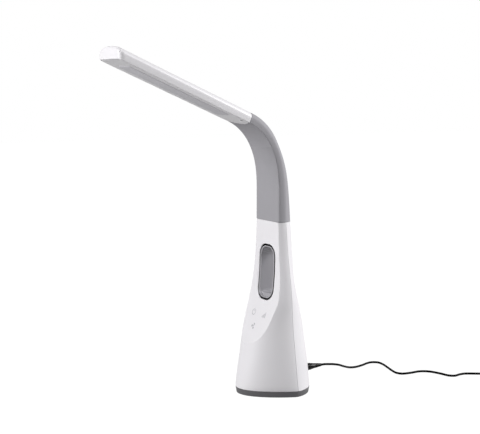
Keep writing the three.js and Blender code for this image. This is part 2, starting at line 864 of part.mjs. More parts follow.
// Section across the arm, drawn in by a wall, with its flat side at a given level
function armSection(place, inset = 0, level = 0) {
  const share = Math.max(armShare(place), 0);
  const neck = narrowing(Math.min(share, 1));
  const head = Math.max(share - 1, 0);
  const halfWidth = mix(waistHalfWidth, neckHalfWidth, neck) + (tipHalfWidth - waistHalfWidth) * head - inset;
  const shoulder = mix(waistShoulder, neckShoulder, neck) + (tipShoulder - waistShoulder) * head;
  const flat = halfWidth - mix(headEdge, neckEdge, neck);
  const form = THREE.MathUtils.smoothstep(share, headFormShares[0], headFormShares[1]);
  const sideShares = rearSideShares.map((value, index) => mix(value, headSideShares[index], form));
  const crown = crownCurve(halfWidth, shoulder, thicknessAt(place) - inset, sideShares,
    mix(rearCrownShare, headCrownShare, form), sectionCrownSteps);
  const edge = new THREE.QuadraticBezierCurve(
    new THREE.Vector2(flat, level),
    new THREE.Vector2(halfWidth, level),
    new THREE.Vector2(halfWidth, shoulder),
  ).getPoints(sectionEdgeSteps).slice(0, -1).map((point) => [point.x, point.y]);
  return [...edge, ...crown, ...mirrored(crown).slice(1), ...mirrored(edge)];
}

function armForm(from, to, step, inset, level) {
  const count = Math.ceil((to - from) / step);
  return solid(loft(range(count + 1, (index) => {
    const place = mix(from, to, index / count);
    const frame = frameAt(place);
    return ringAt(armSection(place, inset, level), 0).map((point) => point.applyMatrix4(frame));
  })));
}

// A round rod along the middle of the arm
function rodForm(from, to, radius) {
  const count = Math.ceil((to - from) / neckStep);
  return solid(loft(range(count + 1, (index) => {
    const place = mix(from, to, index / count);
    const middle = thicknessAt(place) / 2;
    const circle = ellipse(radius, radius, roundSteps).map(([x, y]) => [x, y + middle]);
    return ringAt(circle, 0).map((point) => point.applyMatrix4(frameAt(place)));
  })));
}

// Cutting bodies at a hinge, built about the spine's frame there
function hingeAt(place) {
  const frame = frameAt(place).elements;
  const radius = thicknessAt(place) / 2;
  const far = neckDepth + neckBend / 2;
  const across = neckHalfWidth + overrun;
  const rod = gooseneckRadius + clearance;
  const knuckle = (size) => {
    const circle = ellipse(size, size, knuckleSides).map(([y, z]) => [y + radius, z]);
    return prism("x", circle, -across, across).transform(frame);
  };
  const flare = rod + Math.tan(slotFlare) * (radius + hingeRelief + overrun);
  const slot = [
    [radius - rod, -hingeRelief], [radius + rod, -hingeRelief],
    [radius + flare, radius + overrun], [radius - flare, radius + overrun],
  ];
  return {
    below: box(-across, across, -far, far, -far, 0).transform(frame),
    above: box(-across, across, -far, far, 0, far).transform(frame),
    ball: knuckle(radius),
    cup: knuckle(radius + knuckleGap),
    slot: prism("x", slot, -rod - clearance, rod + clearance).transform(frame),
    reach: place + radius + overrun / 2,
  };
}

const hinges = hingePlaces.map(hingeAt);
const sectionCount = hinges.length + 1;

// One sleeve: hollow seat for the knuckle below, knuckle of its own above, and a bore for the gooseneck
function makeSleeve(index) {
  const lower = hinges[index - 1];
  const upper = hinges[index];
  const start = lower ? hingePlaces[index - 1] : clearance;
  const end = upper ? upper.reach : neckLength - clearance / 2;
  const boreStart = start - overrun;
  let sleeve = armForm(start, end, neckStep, 0, 0)
    .subtract(rodForm(boreStart, end + overrun, gooseneckRadius + clearance));
  if (upper) {
    sleeve = sleeve.subtract(upper.above.subtract(upper.ball)).subtract(upper.slot);
  }
  if (lower) {
    sleeve = sleeve.subtract(lower.below).subtract(lower.cup);
  }
  return upper ? sleeve : sleeve.subtract(tongue(clearance).transform(frameAt(neckLength).elements));
}

const socketBottom = towerTop - towerWall - clearance - socketHeight;

function makeGooseneck(index) {
  const last = index === sectionCount - 1;
  const start = index === 0 ? socketBottom - towerTop + clearance : hingePlaces[index - 1] + hingeRelief;
  const end = last ? neckLength + bracketStart + bracketLength - clearance : hingePlaces[index] - hingeRelief;
  return rodForm(start, end, gooseneckRadius);
}

function makeSocket() {
  const top = socketBottom + socketHeight;
  const front = facetAt(socketBottom) + towerWall + clearance * 2;
  const wall = rearDepth(towerTop) - towerWall - clearance;
  const rear = mix(spineMiddle, wall, socketRearShare);
  const flange = socketHalfWidth + socketFlange;
  return box(-socketHalfWidth, socketHalfWidth, front, rear, socketBottom, top)
    .add(box(-flange, flange, front, rear, top - socketFlangeHeight, top))
    .intersect(towerForm(towerWall + clearance, socketBottom - overrun, towerTop, 2))
    .subtract(drumAt(gooseneckRadius + clearance, 0, towerTop + overrun, roundSteps, 0, spineMiddle));
}

// Head, in the frame at the end of the neck: x across, y towards the crown, z along the head

const headFrame = frameAt(neckLength);
const toHead = headFrame.clone().invert().elements;
const headMiddle = thicknessAt(neckLength) / 2;

// The head's plan, seen from above with the lamp upright: a straight end with round corners
function tipTrim(inset) {
  const spot = new THREE.Vector3(0, 0, headLength).applyMatrix4(headFrame);
  const shape = roundedRectangle(
    -tipHalfWidth + inset, tipHalfWidth - inset, spot.y + inset, overrun * 2, tipCorner - inset,
  );
  return prism("z", shape, towerTop, spot.z + headLength).transform(toHead);
}

// The head's form from a start to its end, drawn in by a wall
function headForm(start, inset, level) {
  const end = neckLength + headLength + headThickness;
  return armForm(neckLength + start, end, headLength / 4, inset, level).transform(toHead)
    .intersect(tipTrim(inset));
}

// Round tongue of the underside that runs onto the neck
function tongue(gap) {
  const halfWidth = tongueHalfWidth + gap;
  const reach = tongueLength + gap;
  const radius = (halfWidth ** 2 + reach ** 2) / (2 * reach);
  const angle = Math.asin(halfWidth / radius);
  const shape = new THREE.Shape();
  shape.absarc(0, radius - reach, radius, -Math.PI / 2 - angle, -Math.PI / 2 + angle);
  shape.lineTo(halfWidth, headWall * 2);
  shape.lineTo(-halfWidth, headWall * 2);
  const low = gap > 0 ? -overrun : 0;
  return prism("y", shape, low, frameThickness + gap);
}

function rodHole() {
  return prism("z", circle(gooseneckRadius + clearance, 0, headMiddle), -overrun, headLength);
}

function makeHeadShell() {
  return headForm(clearance / 2, 0, 0)
    .subtract(headForm(headWall, headWall, -overrun))
    .subtract(tongue(clearance))
    .subtract(rodHole());
}

function lensPlan(margin) {
  return roundedRectangle(-lensHalfWidth - margin, lensHalfWidth + margin,
    lensStart - margin, lensStart + lensLength + margin, lensCorner + margin);
}

function screwHole(radius, low, high) {
  return prism("y", circle(radius, headScrewSide, headScrewPlace), low, high);
}

// Underside: a plate inside the shell's rim, with the lens window and a stiffening rib round it
function makeFrame() {
  const plate = headForm(headWall + clearance, headWall + clearance, 0)
    .intersect(box(-tipHalfWidth, tipHalfWidth, 0, frameThickness, 0, headLength * 2));
  return plate.add(tongue(0))
    .subtract(prism("y", lensPlan(clearance), -overrun, headThickness))
    .subtract(screwHole(headScrewHeadRadius + clearance, -overrun, headScrewHeadHeight + clearance))
    .subtract(screwHole(headScrewRadius + clearance, -overrun, headThickness));
}

const rimLow = frameThickness + clearance;
const rimTop = rimLow + lensRimThickness;

function makeLens() {
  return prism("y", lensPlan(0), -lensProud, rimTop)
    .add(prism("y", lensPlan(lensRim), rimLow, rimTop));
}

const reflectorLow = rimTop + clearance;
const reflectorTop = reflectorLow + reflectorHeight;

function reflectorRing(margin, level) {
  const points = lensPlan(margin).getPoints(arcSteps).map((point) => new THREE.Vector3(point.x, level, point.y));
  return points.slice(0, -1).reverse();
}

function makeReflector() {
  const low = reflectorOverlap;
  const high = reflectorOverlap - reflectorSlant;
  const slant = (high - low) / reflectorHeight;
  const outer = loft([reflectorRing(low, reflectorLow), reflectorRing(high, reflectorTop)]);
  const inner = loft([
    reflectorRing(low - reflectorWall - slant * clearance, reflectorLow - clearance),
    reflectorRing(high - reflectorWall + slant * clearance, reflectorTop + clearance),
  ]);
  return solid(outer).subtract(solid(inner));
}

// Light board with its rows of small lights facing down into the reflector
function makeLightBoard() {
  const low = reflectorTop + clearance;
  const plate = prism("y", lensPlan(reflectorOverlap - reflectorSlant), low, low + lightBoardThickness);
  const pitch = (lensLength - lensCorner * 4) / lightColumns;
  const lights = range(lightRows * lightColumns, (index) => {
    const x = (index % lightRows - (lightRows - 1) / 2) * 2 * lightRowHalfSpacing;
    const z = lensStart + lensCorner * 2 + pitch * (Math.floor(index / lightRows) + 0.5);
    const half = lightSide / 2;
    return box(x - half, x + half, low - lightHeight, low + clearance, z - half, z + half);
  });
  return wasm.Manifold.union([plate, ...lights]);
}

// Bracket that clamps the gooseneck's end and takes the underside's screw
function makeBracket() {
  const low = frameThickness + clearance;
  return box(-bracketHalfWidth, bracketHalfWidth, low, bracketTop, bracketStart, bracketStart + bracketLength)
    .intersect(headForm(0, headWall + clearance, 0))
    .subtract(rodHole())
    .subtract(screwHole(headScrewRadius + clearance, 0, low + headScrewBite));
}

function makeHeadScrew() {
  const low = clearance;
  const shoulder = low + headScrewHeadHeight - clearance;
  return screwHole(headScrewHeadRadius, low, shoulder)
    .add(screwHole(headScrewRadius, low, frameThickness + headScrewBite));
}

// Plug, about its own axis with z pointing out of the lamp

const plugFace = rearDepth(jackHeight) + clearance;
const plugLength = plugBody + plugTaper + plugRelief;

function makePlug() {
  return turned([
    [0, 0], [plugRadius, 0], [plugRadius, plugBody],
    [plugMidRadius, plugBody + plugTaper], [plugReliefRadius, plugLength], [0, plugLength],
  ], turnSides)
    .subtract(drum(barrelRadius + clearance, -overrun, plugBody / 4 + clearance, screwSides))
}

function makeBarrel() {
  return drum(barrelRadius, -barrelLength, plugBody / 4, screwSides)
    .subtract(drum(barrelBore, -barrelLength - overrun, 0, screwSides));
}

// Cord and coil

function vectors(points) {
  return points.map(([x, y, z]) => new THREE.Vector3(x, y, z));
}

// The straight bit by the plug, the hand-laid route, and a straight bit that leads into the coil
const cordStart = new THREE.Vector3(0, plugFace + plugLength + clearance, jackHeight);
const routePoints = [cordStart, ...vectors(cordRoute)];
const coilEntry = routePoints.at(-1);
const cordCurve = new THREE.CatmullRomCurve3(routePoints, false, "centripetal");

function makeCord() {
  const section = shapeOf(ellipse(cordRadius, cordRadius, cordSides));
  const steps = Math.round(cordCurve.getLength() / cordStep);
  return new THREE.ExtrudeGeometry(section, { steps, bevelEnabled: false, extrudePath: cordCurve });
}

// Turns in the coil, so that the whole cord has its length
const spareCord = cordLength - cordCurve.getLength() - tailLength;
const coilTurns = Math.round(spareCord / (fullTurn * coilMeanRadius));
const layerTurns = (coilTurns - coilClimb * (coilLayers - 1)) / coilLayers;
const coilInnerRadius = coilMeanRadius - coilTurnPitch * layerTurns / 2;
const coilOuterRadius = coilMeanRadius + coilTurnPitch * layerTurns / 2;
const coilHeadingSide = new THREE.Vector3(-Math.sin(coilHeading), Math.cos(coilHeading), 0);
const coilForward = new THREE.Vector3(Math.cos(coilHeading), Math.sin(coilHeading), 0);
const coilCentre = coilEntry.clone()
  .addScaledVector(coilForward, clearance)
  .addScaledVector(coilHeadingSide, -coilOuterRadius);

// Point on the coil: odd layers spiral in, even layers spiral out, and a short climb joins them
function coilPoint(turns) {
  const period = layerTurns + coilClimb;
  const layer = Math.min(Math.floor(turns / period), coilLayers - 1);
  const within = turns - layer * period;
  const wound = Math.min(within / layerTurns, 1);
  const climb = THREE.MathUtils.smoothstep(within, layerTurns, period);
  const radius = layer % 2 === 0
    ? mix(coilOuterRadius, coilInnerRadius, wound)
    : mix(coilInnerRadius, coilOuterRadius, wound);
  const angle = fullTurn * turns;
  return coilCentre.clone()
    .addScaledVector(coilHeadingSide, radius * Math.cos(angle))
    .addScaledVector(coilForward, radius * Math.sin(angle))
    .setZ(coilEntry.z + coilTurnPitch * (layer + climb));
}

const coilPoints = range(Math.round(coilTurns * coilLoopSteps) + 1, (index) => (
  coilPoint(index / coilLoopSteps)
));

// A tube with its ends cut square, along points that lie nearly level
function tubeForm(points, radius, sides) {
  return loft(points.map((point, index) => {
    const ahead = points[Math.min(index + 1, points.length - 1)];
    const behind = points[Math.max(index - 1, 0)];
    const forward = ahead.clone().sub(behind).normalize();
    const side = new THREE.Vector3(0, 0, 1).cross(forward).normalize();
    const up = forward.clone().cross(side);
    return ellipse(radius, radius, sides).map(([across, rise]) => (
      point.clone().addScaledVector(side, across).addScaledVector(up, rise)
    ));
  }));
}

// Least gap of the coil to itself, measured between points that are over half a turn apart
function coilGap() {
  const apart = coilLoopSteps / 2;
  const fine = range(Math.round(coilTurns * coilLoopSteps) * 2, (index) => coilPoint(index / coilLoopSteps / 2));
  let least = Infinity;
  fine.forEach((point, index) => {
    fine.slice(index + apart * 2).forEach((other) => {
      least = Math.min(least, point.distanceTo(other));
    });
  });
  return least - cordRadius * 2;
}

const coilEnd = coilPoints.at(-1);
const tailForward = coilEnd.clone().sub(coilPoints.at(-2)).setZ(0).normalize();
const tailStart = coilEnd.clone().addScaledVector(tailForward, clearance);
const tailEnd = tailStart.clone().addScaledVector(tailForward, tailLength);

const adapterLift = adapterHeight / 2 - tailStart.z; // the block stands on the desk

// Wall adapter, with z along the cord: a cord relief, a block with bevelled edges, and two blades
function makeAdapter() {
  const shape = roundedRectangle(-adapterWidth / 2 + adapterBevel, adapterWidth / 2 - adapterBevel,
    -adapterHeight / 2 + adapterBevel, adapterHeight / 2 - adapterBevel, adapterCorner - adapterBevel);
  const block = new THREE.ExtrudeGeometry(shape, {
    depth: adapterLength - adapterBevel * 2,
    bevelThickness: adapterBevel,
    bevelSize: adapterBevel,
    bevelSegments: 2,
    curveSegments: arcSteps / 2,
  });
  const relief = turned([
    [0, 0], [reliefRadius * 0.7, 0], [reliefRadius, reliefLength], [reliefRadius, reliefLength + overrun],
    [0, reliefLength + overrun],
  ], screwSides);
  return solid(block.translate(0, adapterLift, reliefLength + adapterBevel)).add(relief);
}

function makeBlade(side) {
  const low = reliefLength + adapterLength + clearance;
  const x = side * bladeSpacing / 2;
  return box(x - bladeGauge / 2, x + bladeGauge / 2,
    adapterLift - bladeWidth / 2, adapterLift + bladeWidth / 2, low, low + bladeLength);
}

// Assembly

const lamp = new THREE.Group();

function place(group, name, body, finish) {
  const mesh = new THREE.Mesh(body.isBufferGeometry ? body : geometryOf(body), finish);
  mesh.name = name;
  group.add(mesh);
  return mesh;
}

function addGroup(parent) {
  const group = new THREE.Group();
  parent.add(group);
  return group;
}

const shells = makeShells();
place(lamp, "front_shell", shells.subtract(behindParting(-clearance / 2)), whiteShell);
place(lamp, "rear_shell", shells.intersect(behindParting(clearance / 2)), whiteShell);
place(lamp, "air_liner", makeLiner(), greyLiner);
place(lamp, "base_tray", makeTray(), greyTray);
place(lamp, "foot_pad", makePad(), blackRubber);
place(lamp, "ballast_plate", makeBallast(), castSteel);
screwPlaces.forEach((spot, index) => place(lamp, `base_screw_${index}`, makeBaseScrew(spot), steel));
place(lamp, "main_board", makeBoard(), greenBoard);
place(lamp, "power_jack", makeJack(), blackPlastic);
place(lamp, "touch_board", makeTouchBoard(), greenBoard);
place(lamp, "fan_deck", makeDeck(), greyTray);
place(lamp, "neck_socket", makeSocket(), greyTray);

const fan = addGroup(lamp);
fan.position.set(0, fanMiddle, 0);
place(fan, "fan_duct", makeDuct(), greyTray);
place(fan, "fan_motor", makeMotor(), steel);
place(fan, "motor_shaft", makeShaft(), steel);
place(fan, "impeller", makeImpeller(), blackPlastic);

range(sectionCount, (index) => {
  place(lamp, `neck_sleeve_${index}`, makeSleeve(index), greySleeve);
  place(lamp, `gooseneck_section_${index}`, makeGooseneck(index), steel);
});

const head = addGroup(lamp);
head.position.setFromMatrixPosition(headFrame);
head.rotation.x = headTilt;
place(head, "head_shell", makeHeadShell(), whiteShell);
place(head, "head_underside", makeFrame(), whiteShell);
place(head, "diffuser", makeLens(), frostedLens);
place(head, "reflector", makeReflector(), whiteReflector);
place(head, "light_board", makeLightBoard(), whiteBoard);
place(head, "head_bracket", makeBracket(), greyTray);
place(head, "head_screw", makeHeadScrew(), steel);

const plug = addGroup(lamp);
plug.position.set(0, plugFace, jackHeight);
plug.rotation.x = -Math.PI / 2;
place(plug, "dc_plug", makePlug(), blackPlastic);
place(plug, "plug_barrel", makeBarrel(), steel);

place(lamp, "cord", makeCord(), cordBlack);
place(lamp, "cord_coil", tubeForm(coilPoints, cordRadius, coilSides), cordBlack);
place(lamp, "cord_tail", tubeForm([tailStart, tailEnd], cordRadius, cordSides), cordBlack);

const adapter = addGroup(lamp);
adapter.position.copy(tailEnd).addScaledVector(tailForward, clearance);
adapter.rotation.set(Math.PI / 2, Math.atan2(tailForward.x, -tailForward.y), 0, "ZXY");
place(adapter, "wall_adapter", makeAdapter(), blackPlastic);
place(adapter, "adapter_blade_0", makeBlade(-1), steel);
place(adapter, "adapter_blade_1", makeBlade(1), steel);

// What the source prints: the coil's gap, the cord's length and the hinges
const shown = (values) => values.map((value) => value.toFixed(2)).join(", ");
console.log(`coil gap ${coilGap().toFixed(2)}, turns ${coilTurns}, outer radius ${coilOuterRadius.toFixed(1)}`);
console.log(`visible cord ${cordCurve.getLength().toFixed(0)}`);
hingePlaces.forEach((spot, index) => {
  const centre = new THREE.Vector3(0, thicknessAt(spot) / 2, 0).applyMatrix4(frameAt(spot));
  console.log(`hinge ${index + 1}: ${shown(centre.toArray())}`);
});
console.log(`head root: ${shown(head.position.toArray())}`);

export default lamp;
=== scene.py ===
# %% [markdown]
# # A desk lamp with a bendable neck
#
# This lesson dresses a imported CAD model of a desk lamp. The lamp has an oval white tower with a fan
# window, a soft grey neck, a long flat light head and a black power cord. The CAD solids are right in
# size but faceted, so each shell that shows is modelled again here as a smooth skin over the same
# sections, and every finish is a small procedural material.

import json
import math

import bmesh
import bpy
from mathutils import Matrix, Vector


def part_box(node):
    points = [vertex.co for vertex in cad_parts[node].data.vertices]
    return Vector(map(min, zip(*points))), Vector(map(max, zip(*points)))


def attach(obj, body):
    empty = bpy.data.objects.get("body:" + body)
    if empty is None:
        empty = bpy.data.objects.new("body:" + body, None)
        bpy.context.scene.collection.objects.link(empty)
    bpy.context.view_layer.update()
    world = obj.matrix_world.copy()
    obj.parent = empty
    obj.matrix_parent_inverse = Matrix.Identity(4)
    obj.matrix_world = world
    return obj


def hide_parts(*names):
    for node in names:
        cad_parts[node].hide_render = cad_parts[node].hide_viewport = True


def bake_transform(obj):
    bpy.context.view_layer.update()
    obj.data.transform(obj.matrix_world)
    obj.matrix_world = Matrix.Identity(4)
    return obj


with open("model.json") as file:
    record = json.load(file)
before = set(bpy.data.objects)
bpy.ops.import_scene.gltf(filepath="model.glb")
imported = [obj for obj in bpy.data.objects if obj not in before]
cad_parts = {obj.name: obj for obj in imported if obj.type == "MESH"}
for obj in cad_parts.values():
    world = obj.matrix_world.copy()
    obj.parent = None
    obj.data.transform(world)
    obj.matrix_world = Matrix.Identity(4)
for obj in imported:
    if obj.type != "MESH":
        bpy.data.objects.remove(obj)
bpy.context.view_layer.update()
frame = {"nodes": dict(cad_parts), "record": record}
MM = 0.001

# %% [markdown]
# ## The camera
#
# The product picture was taken with a long lens from the lamp's right front, a little above the desk.
# A camera in Blender looks along its own -Z, so a turn about X of just under 90 degrees makes it look
# ahead and slightly down, and a turn about Z carries it round the lamp.

# %% Place the camera
SENSOR_WIDTH, FOCAL_LENGTH = 36, 86.25  # millimetres
CAMERA_PLACE = (1.2333, -0.7597, 0.3918)
CAMERA_RAISE, CAMERA_ROUND = 83.354, 60  # degrees about X and about Z
camera_data = bpy.data.cameras.new("camera")
camera_data.sensor_width = SENSOR_WIDTH
camera_data.lens = FOCAL_LENGTH
camera_data.clip_start = 0.01
camera = bpy.data.objects.new("camera", camera_data)
camera.location = CAMERA_PLACE
camera.rotation_euler = (math.radians(CAMERA_RAISE), 0, math.radians(CAMERA_ROUND))
bpy.context.collection.objects.link(camera)
bpy.context.scene.camera = camera
print("lens", camera_data.lens, "mm at", tuple(camera.location))

# %% [markdown]
# ## The cord
#
# The lead is 1.5 m long and 3 mm thick. It leaves the plug straight, sags to the desk, lies in loose
# bends and runs out of the picture, where the spare length is wound in a neat coil beside the wall
# adapter. A curve object suits it: Blender gives it a round section by itself. The bends are chosen,
# nearly as in the CAD model, and the coil comes from the same formula.

# %% The route in millimetres
CORD_RADIUS, CORD_LENGTH = 1.5, 1500
CLEARANCE = 0.3  # between neighbouring pieces
ROUTE = [
    (0, 82, 22.3), (-1, 88, 21.4), (-3, 97, 19.8), (-7, 109, 16.6), (-13, 120, 12.3), (-20, 130.5, 8.3),
    (-26.5, 140, 5), (-31, 148, 3), (-33.5, 156.5, 2), (-36.5, 165.5, 1.7), (-40, 174.5, 1.6),
    (-44, 183, 1.6), (-45.5, 192, 1.6), (-41, 199, 1.6), (-31, 199.5, 1.6), (-8, 193, 1.6),
    (8, 188, 1.6), (20, 186, 1.6), (27, 190, 1.6), (29, 202, 1.6), (29, 219, 1.6), (36, 229, 1.6),
    (52, 235, 1.6), (66, 238, 1.6), (71, 244, 1.6), (69, 254, 1.6), (69, 263, 1.6), (79, 280, 1.6),
    (92, 300, 1.6), (104, 320, 1.6),
]


def mix(start, end, share):
    return start + (end - start) * share


def smoothstep(value, low, high):
    share = min(max((value - low) / (high - low), 0), 1)
    return share * share * (3 - 2 * share)


def through(points, steps=6):
    """A smooth line through points, with knots spaced by the root of their distance."""
    ends = [points[0] * 2 - points[1]] + points + [points[-1] * 2 - points[-2]]
    line = []
    for before, start, end, after in zip(ends, ends[1:], ends[2:], ends[3:]):
        spans = ((before, start), (start, end), (end, after))
        gaps = [max((b - a).length, 1e-6) ** 0.5 for a, b in spans]
        out = (start - before) / gaps[0] - (end - before) / (gaps[0] + gaps[1]) + (end - start) / gaps[1]
        arrive = (end - start) / gaps[1] - (after - start) / (gaps[1] + gaps[2]) + (after - end) / gaps[2]
        out, arrive = out * gaps[1], arrive * gaps[1]
        for step in range(steps):
            t = step / steps
            line.append(start * (2 * t**3 - 3 * t**2 + 1) + out * (t**3 - 2 * t**2 + t)
                        + end * (3 * t**2 - 2 * t**3) + arrive * (t**3 - t**2))
    return line + [points[-1]]


def length_of(points):
    return sum((b - a).length for a, b in zip(points, points[1:]))


# %% Lay the cord from the plug
plug_low, plug_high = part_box("dc_plug")
jack_height = (plug_low.z + plug_high.z) / 2 / MM
cord_exit = Vector((0, plug_high.y / MM + CLEARANCE, jack_height))
laid = through([cord_exit] + [Vector(point) for point in ROUTE])
print("cord on show:", round(length_of(laid)), "mm")

# %% Wind the coil
COIL_HEADING = math.radians(59)
COIL_PITCH, COIL_LAYERS, COIL_MEAN_RADIUS = 3.7, 4, 15.9
COIL_CLIMB, COIL_STEPS = 1 / 3, 24  # turns from one layer to the next, and points in a turn
TAIL_LENGTH = 26
spare = CORD_LENGTH - length_of(laid) - TAIL_LENGTH
coil_turns = round(spare / (math.tau * COIL_MEAN_RADIUS))
layer_turns = (coil_turns - COIL_CLIMB * (COIL_LAYERS - 1)) / COIL_LAYERS
inner_radius = COIL_MEAN_RADIUS - COIL_PITCH * layer_turns / 2
outer_radius = COIL_MEAN_RADIUS + COIL_PITCH * layer_turns / 2
coil_side = Vector((-math.sin(COIL_HEADING), math.cos(COIL_HEADING), 0))
coil_forward = Vector((math.cos(COIL_HEADING), math.sin(COIL_HEADING), 0))
coil_entry = Vector(ROUTE[-1])
coil_centre = coil_entry + coil_forward * CLEARANCE - coil_side * outer_radius


def coil_point(turns):
    """Odd layers spiral in and even layers out, and a short climb joins each to the next."""
    period = layer_turns + COIL_CLIMB
    layer = min(int(turns / period), COIL_LAYERS - 1)
    within = turns - layer * period
    wound = min(within / layer_turns, 1)
    ends = (outer_radius, inner_radius) if layer % 2 == 0 else (inner_radius, outer_radius)
    radius = mix(*ends, wound)
    rise = COIL_PITCH * (layer + smoothstep(within, layer_turns, period))
    angle = math.tau * turns
    spot = coil_centre + coil_side * radius * math.cos(angle) + coil_forward * radius * math.sin(angle)
    return Vector((spot.x, spot.y, coil_entry.z + rise))


coiled = [coil_point(step / COIL_STEPS) for step in range(coil_turns * COIL_STEPS + 1)]
tail_forward = Vector((*(coiled[-1] - coiled[-2]).xy, 0)).normalized()
tail_end = coiled[-1] + tail_forward * (TAIL_LENGTH + CLEARANCE)
cord_line = laid + coiled + [tail_end]
print("turns:", coil_turns, "whole cord:", round(length_of(cord_line)), "mm")

# %% Make the cord
cord_curve = bpy.data.curves.new("power_cord", "CURVE")
cord_curve.dimensions = "3D"
cord_curve.bevel_depth = 1
cord_curve.bevel_resolution = 3
cord_curve.use_fill_caps = True
cord_spline = cord_curve.splines.new("POLY")
cord_spline.points.add(len(cord_line) - 1)
for spline_point, spot in zip(cord_spline.points, cord_line):
    spline_point.co = (*(spot * MM), 1)
    spline_point.radius = CORD_RADIUS * MM
cord_spline.use_smooth = True
power_cord = bpy.data.objects.new("power_cord", cord_curve)
bpy.context.collection.objects.link(power_cord)
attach(power_cord, "tower")
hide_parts("cord", "cord_coil", "cord_tail")
print("points on the cord:", len(cord_line))

# %% [markdown]
# ## Skins, prisms and cuts
#
# Most pieces are skins: a closed ring of points that changes along a path. In bmesh that is a circle
# whose ring of edges is extruded again and again, each new ring being placed on the next section. Flat
# pieces start as one face that is extruded. Cuts use the exact boolean solver, applied at once so that
# the object stays a plain mesh.

# %% Skins
def new_piece(name, bm):
    mesh = bpy.data.meshes.new(name)
    bm.to_mesh(mesh)
    bm.free()
    piece = bpy.data.objects.new(name, mesh)
    bpy.context.collection.objects.link(piece)
    return piece


def ring_edges(ring):
    """The edges of a closed ring in its own order, so that every run makes the same mesh."""
    return [next(edge for edge in vert.link_edges if edge.other_vert(vert) == following)
            for vert, following in zip(ring, ring[1:] + ring[:1])]


def extend(bm, ring, section):
    """Extrudes a ring of edges and places the new ring on the next section."""
    made = bmesh.ops.extrude_edge_only(bm, edges=ring_edges(ring))["geom"]
    fresh = {item for item in made if isinstance(item, bmesh.types.BMVert)}
    following = [next(e.other_vert(vert) for e in vert.link_edges if e.other_vert(vert) in fresh)
                 for vert in ring]
    for vert, spot in zip(following, section):
        vert.co = spot * MM
    return following


def skin(name, sections, looped=False):
    """A closed skin over sections in millimetres, capped at both ends or joined into a loop."""
    bm = bmesh.new()
    first = bmesh.ops.create_circle(bm, segments=len(sections[0]), radius=1)["verts"]
    for vert, spot in zip(first, sections[0]):
        vert.co = spot * MM
    ring = first
    for section in sections[1:]:
        ring = extend(bm, ring, section)
    if looped:
        bmesh.ops.bridge_loops(bm, edges=ring_edges(first) + ring_edges(ring))
    else:
        bmesh.ops.contextual_create(bm, geom=first)
        bmesh.ops.contextual_create(bm, geom=ring)
    bmesh.ops.recalc_face_normals(bm, faces=bm.faces)
    return new_piece(name, bm)


# %% Prisms and cuts
def prism(name, outline, direction):
    """A flat outline in millimetres, extruded in a direction."""
    bm = bmesh.new()
    face = bm.faces.new([bm.verts.new(spot * MM) for spot in outline])
    made = bmesh.ops.extrude_face_region(bm, geom=[face])["geom"]
    verts = [item for item in made if isinstance(item, bmesh.types.BMVert)]
    bmesh.ops.translate(bm, vec=direction * MM, verts=verts)
    bmesh.ops.recalc_face_normals(bm, faces=bm.faces)
    return new_piece(name, bm)


def settle(piece):
    """Turns a piece's modifiers into plain mesh."""
    shown = piece.evaluated_get(bpy.context.evaluated_depsgraph_get())
    mesh = bpy.data.meshes.new_from_object(shown)
    piece.modifiers.clear()
    old = piece.data
    piece.data = mesh
    bpy.data.meshes.remove(old)
    return piece


def carve(piece, tool, operation="DIFFERENCE"):
    """Cuts a tool out of a piece, or joins the two, and uses the tool up."""
    cut = piece.modifiers.new("cut", "BOOLEAN")
    cut.operation = operation
    cut.solver = "EXACT"
    cut.object = tool
    settle(piece)
    bpy.data.objects.remove(tool)
    return piece


# %% [markdown]
# ## Edges and normals
#
# A moulded edge is never quite sharp, and a thin line of light runs along it. A narrow bevel gives that
# line. Cuts leave slivers beside an edge, and a bevel that is clamped to them would pinch, so the points
# of a cover that nearly touch are welded first, and its bevel goes unclamped. Weighted normals then let
# the broad faces stay calm beside the small round ones.

# %% Weld, round and shade
SLIVER, EDGE_ROUND = 0.35, 0.3


def in_order(bm):
    """Sorts points, edges and faces by their place, so that every run welds and rounds them alike."""
    for items, place in ((bm.verts, lambda vert: vert.co),
                         (bm.edges, lambda edge: edge.verts[0].co + edge.verts[1].co),
                         (bm.faces, lambda face: face.calc_center_median())):
        ranks = {item: rank for rank, item in enumerate(sorted(items, key=lambda item: place(item)[:]))}
        items.sort(key=lambda item: ranks[item])


def soften(piece, width, limit, segments=2, clamp=True):
    """Rounds a piece's edges where two faces meet at more than the limit in degrees."""
    bevel = piece.modifiers.new("edges", "BEVEL")
    bevel.width = width * MM
    bevel.segments = segments
    bevel.use_clamp_overlap = clamp
    bevel.limit_method = "ANGLE"
    bevel.angle_limit = math.radians(limit)
    bevel.harden_normals = False
    return settle(piece)


def round_cover(piece, limit, segments=2):
    """Gives a cover its narrow round edges, once the slivers that the cuts left are welded away."""
    bm = bmesh.new()
    bm.from_mesh(piece.data)
    in_order(bm)
    bmesh.ops.remove_doubles(bm, verts=bm.verts, dist=SLIVER * MM)
    in_order(bm)
    bm.to_mesh(piece.data)
    bm.free()
    return soften(piece, EDGE_ROUND, limit, segments, clamp=False)


def shade(piece, limit=28):
    """Smooth faces, with a sharp edge wherever two faces meet at more than the limit."""
    bm = bmesh.new()
    bm.from_mesh(piece.data)
    bmesh.ops.remove_doubles(bm, verts=bm.verts, dist=0.002 * MM)
    for face in bm.faces:
        face.smooth = True
    for edge in bm.edges:
        edge.smooth = len(edge.link_faces) == 2 and edge.calc_face_angle() < math.radians(limit)
    bm.to_mesh(piece.data)
    bm.free()
    return piece


def even(piece):
    """Lets the larger faces set the normals, so that broad faces stay calm beside small round edges."""
    weighted = piece.modifiers.new("normals", "WEIGHTED_NORMAL")
    weighted.keep_sharp = True
    return settle(piece)


# %% Dress a piece
finishes = [(power_cord, "cord_black")]  # each new piece with its finish, for the end of the lesson


